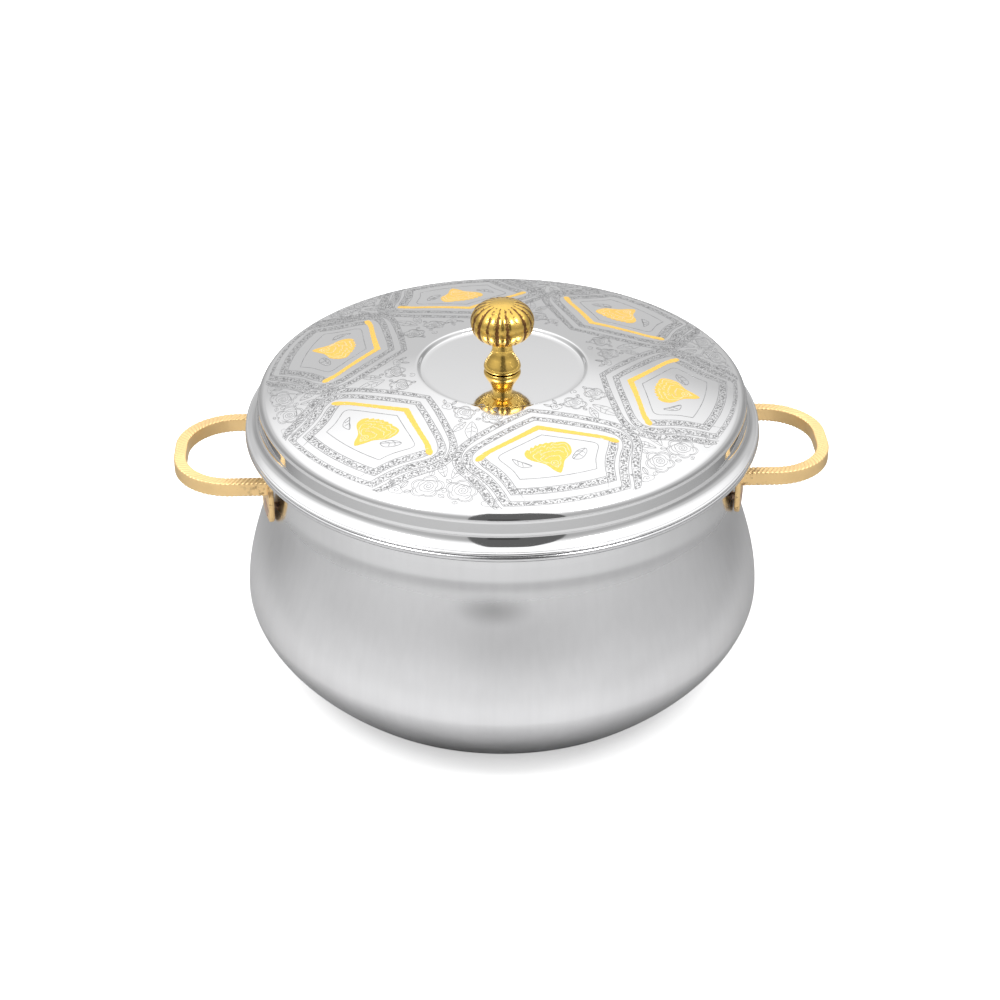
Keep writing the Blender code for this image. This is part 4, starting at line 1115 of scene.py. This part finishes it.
class Pattern:
    """Places the ornament's flat figures on the dome."""

    def __init__(self, scene):
        self.sizes = scene.casserole_ornament
        self.lid = scene.casserole_lid
        self.rim_height = scene.casserole_pot.rim_height
        self.centre = np.array(facing(self.sizes.centre_shift, 0.0, self.sizes.shift_azimuth))

    def flat(self, figure, azimuth):
        """A figure (out, across) in millimetres, laid out flat in a direction; metres."""
        out = figure[:, 0] * MM + self.sizes.spread
        return np.stack(facing(out, figure[:, 1] * MM, azimuth), axis=1) + self.centre

    def on_dome(self, points, proud):
        """Flat points put on the dome. Near the edge the radius is drawn in by a hyperbolic tangent."""
        radius = np.linalg.norm(points, axis=-1)
        start, width = self.sizes.soft_radius, self.sizes.soft_width
        past = np.maximum(radius - start, 0.0)
        drawn = np.where(radius > start, start + width * np.tanh(past / width), radius)
        spread = points * (drawn / np.maximum(radius, MERGE_DISTANCE))[..., None]
        height = self.rim_height + top_height(self.lid, drawn) + proud
        return np.concatenate([spread, height[..., None]], axis=-1)

    def ribbon(self, line, width, proud, closed=False, across=4):
        """A thin raised strip along a flat line: its section crosses the dome and dips into the sheet."""
        shares = np.concatenate([np.linspace(-1.0, 1.0, across + 1), [1.0, -1.0]])
        lifts = np.concatenate([np.full(across + 1, proud), [-self.sizes.sunk] * 2])
        half = np.broadcast_to(np.asarray(width, dtype=float) / 2.0, len(line))
        side = square_lines(line, closed)
        flat = line[:, None, :] + side[:, None, :] * (half[:, None] * shares[None, :])[:, :, None]
        grid = self.on_dome(flat, lifts[None, :])
        travel = travelled(np.vstack([line, line[:1]]) if closed else line)
        if not closed:
            grid = capped(grid)
            travel = np.concatenate([travel[:1], travel, travel[-1:]])
        map_across = np.append((shares + 1.0) / 2.0, 0.0)
        places = np.stack(np.broadcast_arrays(travel[:, None], map_across[None, :]), axis=2)
        return grid_surface(grid, wrap_rows=closed, wrap_columns=True, places=places)

    def stroke(self, line, closed=False, width=1.0, gold=False):
        """A thin line, engraved in the sheet or drawn on the gold."""
        proud = self.sizes.gold_proud if gold else self.sizes.line_proud
        return self.ribbon(line, self.sizes.line_width * width, proud, closed, across=1)

    def strokes(self, lines, azimuth, width, gold=False):
        """Strokes along lines in millimetres, each with whether it is closed, laid out in a direction."""
        return [self.stroke(self.flat(line, azimuth), closed, width, gold) for line, closed in lines]

    def azimuths(self, half=0.0):
        """The panels' directions, or those half way between."""
        step = FULL_TURN / self.sizes.panels
        return [self.sizes.first_azimuth + (number + half) * step for number in range(self.sizes.panels)]


def both_halves(figure):
    """A figure from its left end over the point to its right end."""
    figure = np.asarray(figure, dtype=float)
    mirror = figure[:0:-1].copy()
    mirror[:, 1] *= -1.0
    return np.vstack([mirror, figure])


def pointed_curve(figure):
    """A smooth curve through each half of a figure, with a sharp point between them."""
    return both_halves(smooth_curve(figure, CURVE_STEPS))


def foot_arc(figure, steps=24):
    """The round lower side between a figure's two ends, about the pattern's centre, its ends left out."""
    out, across = figure[-1][:2]
    radius = math.hypot(out, across)
    reach = math.asin(across / radius)
    angles = np.linspace(reach, -reach, steps + 1)[1:-1]
    points = around((0.0, 0.0), radius, angles)
    if len(figure[0]) > 2:
        points = np.hstack([points, np.full((len(points), 1), figure[-1][2])])
    return points


def closed_curve(figure):
    """A pointed figure closed by a round lower side."""
    return np.vstack([pointed_curve(figure), foot_arc(figure)])


def band_lines():
    """The three stippled bands in millimetres, each with whether it is closed."""
    right = smooth_curve(INNER_BAND, CURVE_STEPS)
    left = right[::-1] * np.array([1.0, -1.0, 1.0])
    return [(pointed_curve(OUTER_BAND), False), (closed_curve(MIDDLE_BAND), True),
            (np.vstack([right, foot_arc(INNER_BAND), left]), False)]


def band_surfaces(pattern, azimuth):
    """The stippled bands of a panel."""
    return [pattern.ribbon(pattern.flat(curve, azimuth), curve[:, 2] * MM, pattern.sizes.band_proud, closed)
            for curve, closed in band_lines()]


def band_edge_strokes(pattern, azimuth):
    """The dark lines along both sides of each band."""
    strokes = []
    for curve, closed in band_lines():
        flat = pattern.flat(curve, azimuth)
        side = square_lines(flat, closed) * (curve[:, 2] * MM / 2.0)[:, None]
        strokes += [pattern.stroke(flat + side * way, closed, 0.8) for way in (1.0, -1.0)]
    return strokes


def petal_line(centre, radius, waves, depth, start=0.0, end=FULL_TURN, steps=96):
    """A scalloped ring: its radius swells with the size of a sine, unevenly round the ring."""
    angles = np.linspace(start, end, steps + 1)
    uneven = 1.0 + 0.07 * np.sin(2.0 * angles + centre[0] + centre[1])
    reach = radius * uneven * (1.0 - depth + depth * np.abs(np.sin(angles * waves / 2.0)) ** 0.7)
    return around(centre, reach, angles)


def spiral_line(centre, radius, turns, start, steps=60):
    """A spiral whose radius grows evenly with its turn."""
    share = np.linspace(0.06, 1.0, steps + 1)
    return around(centre, radius * share, start + share * turns * FULL_TURN)


def leaf_lines(outline):
    """A leaf's outline with a middle vein and side veins, from the points round it."""
    edge = smooth_curve(outline, 6, closed=True)
    stem = np.asarray(outline[0], dtype=float)
    tip = edge[np.argmax(np.linalg.norm(edge - stem, axis=1))]
    lines = [(edge, True), (straight(stem, tip, 8), False)]
    middle = (stem + tip) / 2.0
    lines += [(straight(stem + (tip - stem) * share, middle + (edge[place] - middle) * 0.8, 4), False)
              for share, place in ((0.25, len(edge) // 5), (0.5, len(edge) // 3),
                                   (0.3, -len(edge) // 5), (0.55, -len(edge) // 3))]
    return lines


def pointed_leaf(stem, tip, width):
    """Points round a pointed leaf between a stem and a tip."""
    stem, tip = np.array(stem), np.array(tip)
    along = tip - stem
    side = np.array([-along[1], along[0]]) / np.linalg.norm(along) * width
    return [stem, stem + along * 0.3 + side * 0.8, stem + along * 0.6 + side, tip,
            stem + along * 0.6 - side, stem + along * 0.3 - side * 0.8]


def flower_lines(out, across, radius):
    """An open rose: a doubled ring of petals, two inner rings, a spiral heart and three sepals."""
    centre = (out, across)
    heart = (out - radius * 0.08, across + radius * 0.06)
    lines = [(petal_line(centre, radius, 5, 0.26)[:-1], True),
             (petal_line(centre, radius * 0.88, 5, 0.26)[:-1], True),
             (petal_line(centre, radius * 0.66, 4, 0.22, 0.6, 5.7), False),
             (petal_line(heart, radius * 0.50, 3, 0.18, 2.2, 7.3), False),
             (spiral_line(heart, radius * 0.36, 2.4, 1.1), False)]
    for angle in np.arange(3) * FULL_TURN / 3 + out + across:
        aim = np.array([math.cos(angle), math.sin(angle)])
        lines += leaf_lines(pointed_leaf(centre + aim * radius * 0.98, centre + aim * radius * 1.42,
                                         radius * 0.16))[:2]
    return lines


def bud_lines(out, across, radius):
    """A half open bud: a drop-shaped outline, an inner curl and two sepals."""
    lines = [(petal_line((out, across), radius * 0.8, 3, 0.3)[:-1], True),
             (spiral_line((out, across), radius * 0.42, 1.4, 2.0), False)]
    for lean in (-0.9, 0.9):
        tip = (out - radius * 1.5, across + radius * lean)
        lines += leaf_lines(pointed_leaf((out - radius * 0.4, across + radius * lean * 0.5), tip,
                                         radius * 0.22))[:2]
    return lines


def spray_lines():
    """The flowers, buds, curls and leaves between two panels, in millimetres."""
    lines = []
    for flower in SPRAY_FLOWERS:
        lines += flower_lines(*flower)
    for bud in SPRAY_BUDS:
        lines += bud_lines(*bud)
    for out, across, radius in SPRAY_CURLS:
        lines.append((spiral_line((out, across), radius, 1.4, across), False))
    for out, across, tip_out, tip_across in SPRAY_LEAVES:
        width = 0.2 * math.hypot(tip_out - out, tip_across - across)
        lines += leaf_lines(pointed_leaf((out, across), (tip_out, tip_across), width))
    return lines


def rose_outline():
    """The gold rose's outline in millimetres."""
    return smooth_curve(GOLD_ROSE, 12, closed=True)


def rose_surface(pattern, azimuth):
    """The gold rose: rings shrink from its outline to its heart, and a last ring dips into the sheet."""
    heart, outline = np.array(ROSE_HEART), rose_outline()
    shares = np.concatenate([np.linspace(0.0, 1.0, 9), [1.0, 0.0]])
    lifts = np.concatenate([np.full(9, pattern.sizes.line_proud), [-pattern.sizes.sunk] * 2])
    rings = np.stack([heart + (outline - heart) * share for share in shares])
    flat = pattern.flat(rings.reshape(-1, 2), azimuth).reshape(rings.shape)
    return grid_surface(pattern.on_dome(flat, lifts[:, None]), wrap_columns=True)


def rose_petal_lines():
    """The rose's petals: wavy parts of rings between heart and outline, and a spiral at the heart."""
    heart, outline = np.array(ROSE_HEART), rose_outline()
    count = len(outline)
    lines = [(spiral_line(heart, 2.6, 2.2, 0.5), False)]
    for share, first, last in ROSE_PETAL_SHARES:
        places = np.arange(int(first * count), int(last * count)) % count
        waves = 1.0 + 0.09 * np.abs(np.sin(np.arange(len(places)) * 0.11))
        lines.append((heart + (outline[places] - heart) * (share * waves)[:, None], False))
    return lines


class MESH_OT_casserole_ornament(bpy.types.Operator):
    """Build the lid's stippled bands, engraved lines, gold chevrons and gold roses"""

    bl_idname = "mesh.casserole_ornament"
    bl_label = "Ornament"

    def execute(self, context):
        pattern = Pattern(context.scene)
        chevron = pointed_curve(GOLD_CHEVRON)
        panel_lines = [(closed_curve(FRAME_LINE), True)] + leaf_lines(LEFT_LEAF) + leaf_lines(RIGHT_LEAF)
        bands, edges, lines, chevrons, roses, petals = [], [], [], [], [], []
        for azimuth in pattern.azimuths():
            bands += band_surfaces(pattern, azimuth)
            edges += band_edge_strokes(pattern, azimuth)
            lines += pattern.strokes(panel_lines, azimuth, 0.75)
            widths = chevron[:, 2] * MM * (1.0 + 0.07 * np.sin(chevron[:, 1] * 1.9 + azimuth))
            chevrons.append(pattern.ribbon(pattern.flat(chevron, azimuth), widths, pattern.sizes.gold_proud))
            roses.append(rose_surface(pattern, azimuth))
            petals += pattern.strokes(rose_petal_lines(), azimuth, 0.9, gold=True)
        for azimuth in pattern.azimuths(half=0.5):
            lines += pattern.strokes(spray_lines(), azimuth, 0.54)
        add_piece("stippled_bands", bands, "lid", stippled_steel)
        add_piece("band_edge_lines", edges, "lid", etched_steel)
        add_piece("engraved_lines", lines, "lid", etched_steel)
        add_piece("gold_chevrons", chevrons, "lid", gold_inlay)
        add_piece("gold_roses", roses, "lid", gold_inlay)
        add_piece("petal_lines", petals, "lid", gold_shade)
        return {"FINISHED"}


# Knob

def knob_line(knob, gap):
    """The knob from its top to its foot: a superellipse for the ball, a ring, a waist and a rounded bell."""
    power = 2.0 / knob.ball_power
    lowest = -math.acos((KNOB_COLLAR / knob.ball_radius) ** (1.0 / power))
    angles = np.linspace(math.pi / 2, lowest, 80)
    ball = np.stack([knob.ball_radius * np.abs(np.cos(angles)) ** power,
                     knob.ball_centre + knob.ball_half_height * np.sign(np.sin(angles))
                     * np.abs(np.sin(angles)) ** power], axis=1)
    ball[0, 0] = 0.0
    ring = arc(*KNOB_RING, math.pi / 2, -math.pi / 2, 10)
    return join_lines(ball, ring, smooth_curve(np.array(KNOB_BELL) * MM, 6), [(0.0, gap)])


def knob_surface(knob, gap, columns_per_flute=16):
    """The knob's line carried round. Bell curves press uneven grooves into the ball, none at its poles."""
    line = knob_line(knob, gap)
    step = FULL_TURN / knob.flutes
    angles = knob.flute_azimuth + np.arange(knob.flutes * columns_per_flute) * step / columns_per_flute
    radius, height = line[:, 0][:, None], line[:, 1][:, None]
    rise = (height - knob.ball_centre) / knob.ball_half_height
    number = np.round((angles - knob.flute_azimuth) / step)
    aside = angles - knob.flute_azimuth - number * step
    strength = 0.8 + 0.2 * np.sin(number * 2.4 + 1.0)
    from_worn = (rise - WORN_MIDDLE_SHARE) / WORN_LENGTH_SHARE
    worn = (number % knob.flutes == knob.worn_groove) * np.exp(-from_worn ** 2)
    out = np.clip(radius / knob.ball_radius, 0.0, 1.0)
    on_ball = np.clip((rise - GROOVE_FOOT_SHARE) / GROOVE_FADE_SHARE, 0.0, 1.0)
    on_ball = on_ball * np.sqrt(out) * (radius > KNOB_COLLAR)
    groove = np.exp(-(aside / knob.groove_spread) ** 2) * strength * (1.0 - 0.9 * worn) * on_ball
    pressed = radius - knob.flute_depth * groove * out
    level = height - knob.flute_depth * groove * np.clip(rise, -1.0, 1.0) * (1.0 - out)
    grid = np.stack([pressed * np.cos(angles), pressed * np.sin(angles), level], axis=2)
    pole = np.where(rise > 0.0, (1.0 - out) ** 2, 0.0) + 0.0 * angles
    places = np.stack([np.hstack([part, part[:, :1]]) for part in (groove, pole)], axis=2)
    return grid_surface(grid, wrap_columns=True, places=places)


class MESH_OT_casserole_knob(bpy.types.Operator):
    """Build the fluted brass knob"""

    bl_idname = "mesh.casserole_knob"
    bl_label = "Knob"

    def execute(self, context):
        gap = context.scene.casserole_pot.gap
        lift = Matrix.Translation((0.0, 0.0, KNOB_SEAT - gap))
        surface = moved(knob_surface(context.scene.casserole_knob, gap), lift)
        add_piece("fluted_knob", [surface], "lid", knob_brass, ["knob"])
        return {"FINISHED"}


# Stage

def stage_object(name, surface, material, seen=True):
    """A stage object, which may be hidden from the camera."""
    mesh = bpy.data.meshes.new(name)
    points, faces, _ = surface
    mesh.from_pydata(points.tolist(), [], faces.tolist())
    mesh.validate()
    mesh.shade_smooth()
    mesh.materials.append(material)
    thing = bpy.data.objects.new(name, mesh)
    bpy.context.scene.collection.objects.link(thing)
    thing.visible_camera = seen


def floor_finish():
    """A pale floor. The camera sees it darker by the foot, where a dimmer glow adds painted shadow to the
    real shadow. The steel mirrors it dark near the pot, darker to the back and right, and darkest in a ring
    behind: painted shade in the floor's colour."""
    made = new_finish("floor_finish")
    place = made.place()
    side, back, _ = made.split(place)
    distance = made.length(place)
    to_back = back / distance
    # Painted shadow: the tone that the steel mirrors is dark near the pot and darker to the back and right.
    tone = made.ramp(distance, FLOOR_MIRRORED) * (0.72 - 0.06 * (side / distance) - 0.28 * to_back)
    # Painted shade: a ring on the floor, darker still behind the pot.
    near, far = (made.span(distance, *edge) for edge in FLOOR_RING)
    tone = tone * (1.0 - 0.55 * made.span(to_back, 0.0, 0.45) * (near * far))
    lit = made.node("ShaderNodeBsdfDiffuse", None, {"Color": tone})
    pale = made.node("ShaderNodeBsdfDiffuse", None, {"Color": opaque((0.80, 0.80, 0.80))})
    # To the camera: the pale floor's real shadow, with a glow that dims by the foot as a painted shadow.
    seen = made.node("ShaderNodeAddShader", None, {0: pale, 1: made.glow(made.ramp(distance, FLOOR_SEEN))})
    camera = made.node("ShaderNodeLightPath", output="Is Camera Ray")
    made.surface(made.node("ShaderNodeMixShader", None, {0: camera, 1: lit, 2: seen}))
    return made.owner


def glowing_finish(made, tone, strength=1.0):
    """A light's finish: an even glow, which isn't sampled as a lamp."""
    made.surface(made.glow(tone, strength))
    made.owner.cycles.emission_sampling = "NONE"
    return made.owner


def dome_finish(studio):
    """The light dome: white overhead, grey at the level, and grey in front up to two thirds of its rise."""
    made = new_finish("dome_finish")
    side, back, height = (part / studio.dome_radius for part in made.split(made.place()))
    aside = made.span(abs(side), 0.30, 0.65) * made.span(height, 0.40, 0.20)
    behind = made.ramp(height, DOME_BEHIND) * (1.0 - 0.40 * aside)
    tone = made.blend(made.span(back, -0.25, -0.85), behind, made.ramp(height, DOME_BEFORE))
    return glowing_finish(made, tone * (1.0 - 0.04 * side), 1.35)


def sphere_patch(radius, azimuths, elevations, steps=(32, 24)):
    """Part of a sphere about the origin, between two directions and two elevations."""
    turns = np.linspace(*azimuths, steps[0] + 1)[None, :]
    rises = np.linspace(*elevations, steps[1] + 1)[:, None]
    grid = np.stack([radius * np.cos(rises) * np.cos(turns), radius * np.cos(rises) * np.sin(turns),
                     radius * np.sin(rises) + 0.0 * turns], axis=2)
    return grid_surface(grid)


def build_world(scene):
    """A world that is white to camera, glossy and transmission rays, and dimmer to the others."""
    world = bpy.data.worlds.new("white_world")
    scene.world = world
    made = Finish(world)
    path = made.node("ShaderNodeLightPath", output="Is Camera Ray")
    rays = path.socket.node.outputs
    seen = path + Value(made, rays["Is Glossy Ray"]) + Value(made, rays["Is Transmission Ray"])
    strength = made.span(seen, 0.0, 1.0, 0.6, 1.0)
    background = made.node("ShaderNodeBackground", None,
                           {"Color": opaque((1.0, 1.0, 1.0)), "Strength": strength})
    made.node("ShaderNodeOutputWorld", None, {"Surface": background})


def add_softbox(name, azimuth, power):
    """A square area lamp that faces the pot."""
    light = bpy.data.lights.new(name, "AREA")
    light.shape = "SQUARE"
    light.size = SOFTBOX_WIDTH
    light.energy = power
    lamp = bpy.data.objects.new(name, light)
    lamp.matrix_world = (Matrix.Translation((0.0, 0.0, SOFTBOX_AIM)) @ Matrix.Rotation(azimuth, 4, "Z")
                         @ Matrix.Rotation(math.pi / 2 - math.radians(SOFTBOX_RISE), 4, "Y")
                         @ Matrix.Translation((0.0, 0.0, SOFTBOX_DISTANCE)))
    bpy.context.scene.collection.objects.link(lamp)


def add_camera(scene, studio):
    """A camera that matches the photograph's."""
    lens = bpy.data.cameras.new("photo_camera")
    lens.sensor_width = SENSOR_WIDTH
    lens.lens = studio.focal_length
    camera = bpy.data.objects.new("photo_camera", lens)
    rise = studio.camera_elevation
    place = (-studio.target_side, -studio.camera_distance * math.cos(rise),
             studio.target_height + studio.camera_distance * math.sin(rise))
    camera.matrix_world = (Matrix.Rotation(studio.camera_azimuth, 4, "Z") @ Matrix.Translation(place)
                           @ Matrix.Rotation(math.pi / 2 - rise, 4, "X"))
    scene.collection.objects.link(camera)
    scene.camera = camera


class SCENE_OT_casserole_studio(bpy.types.Operator):
    """Build the camera, the floor, the light dome and the lamps"""

    bl_idname = "scene.casserole_studio"
    bl_label = "Studio"

    def execute(self, context):
        scene = context.scene
        studio = scene.casserole_studio
        scene.view_settings.view_transform = "Standard"
        build_world(scene)
        add_camera(scene, studio)
        radii = np.concatenate([[0.0], np.geomspace(FLOOR_FIRST_RING, studio.floor_radius, 40)])
        floor = turned_surface(np.stack([radii, 0.0 * radii - FLOOR_DROP], axis=1), closed=False, columns=96)
        stage_object("studio_floor", floor, floor_finish())
        dome = sphere_patch(studio.dome_radius, (0.0, FULL_TURN), (math.radians(-2), math.radians(90)),
                            (96, 48))
        stage_object("light_dome", dome, dome_finish(studio), seen=False)
        front = studio.camera_azimuth - math.pi / 2
        for name, radius, grey, azimuths, elevations in CARDS:
            card = sphere_patch(radius, [front + math.radians(angle) for angle in azimuths],
                                [math.radians(angle) for angle in elevations])
            finish = glowing_finish(new_finish(name + "_finish"), (grey, grey, grey))
            stage_object(name, card, finish, seen=False)
        for name, turn_out in SOFTBOXES.items():
            add_softbox(name, front + math.radians(turn_out), studio.box_power)
        return {"FINISHED"}


class VIEW3D_PT_casserole(bpy.types.Panel):
    """Lists the casserole's operators"""

    bl_idname = "VIEW3D_PT_casserole"
    bl_label = "Casserole"
    bl_space_type = "VIEW_3D"
    bl_region_type = "UI"
    bl_category = "Casserole"

    def draw(self, context):
        for name in OPERATORS:
            self.layout.operator(name)
        for name, group in GROUPS.items():
            settings = getattr(context.scene, name)
            box = self.layout.box()
            box.label(text=group.__doc__)
            for key in group.__annotations__:
                box.prop(settings, key)


GROUPS = {
    "casserole_pot": CasserolePotSizes,
    "casserole_handle": CasseroleHandleSizes,
    "casserole_lid": CasseroleLidSizes,
    "casserole_ornament": CasseroleOrnamentSizes,
    "casserole_knob": CasseroleKnobSizes,
    "casserole_finishes": CasseroleFinishes,
    "casserole_studio": CasseroleStudioSettings,
}
OPERATORS = ("mesh.casserole_pot", "mesh.casserole_handles", "mesh.casserole_rivets", "mesh.casserole_lid",
             "mesh.casserole_ornament", "mesh.casserole_knob", "scene.casserole_studio")
CLASSES = (*GROUPS.values(), MESH_OT_casserole_pot, MESH_OT_casserole_handles, MESH_OT_casserole_rivets,
           MESH_OT_casserole_lid, MESH_OT_casserole_ornament, MESH_OT_casserole_knob,
           SCENE_OT_casserole_studio, VIEW3D_PT_casserole)


def register():
    """Register the classes and give the scene its settings."""
    for item in CLASSES:
        bpy.utils.register_class(item)
    for name, group in GROUPS.items():
        setattr(bpy.types.Scene, name, PointerProperty(type=group))


def unregister():
    """Take the settings and the classes away again."""
    for name in GROUPS:
        delattr(bpy.types.Scene, name)
    for item in reversed(CLASSES):
        bpy.utils.unregister_class(item)


def main():
    """Build every piece and the studio."""
    register()
    bpy.ops.mesh.casserole_pot()
    bpy.ops.mesh.casserole_handles()
    bpy.ops.mesh.casserole_rivets()
    bpy.ops.mesh.casserole_lid()
    bpy.ops.mesh.casserole_ornament()
    bpy.ops.mesh.casserole_knob()
    bpy.ops.scene.casserole_studio()


if __name__ == "__main__":
    main()
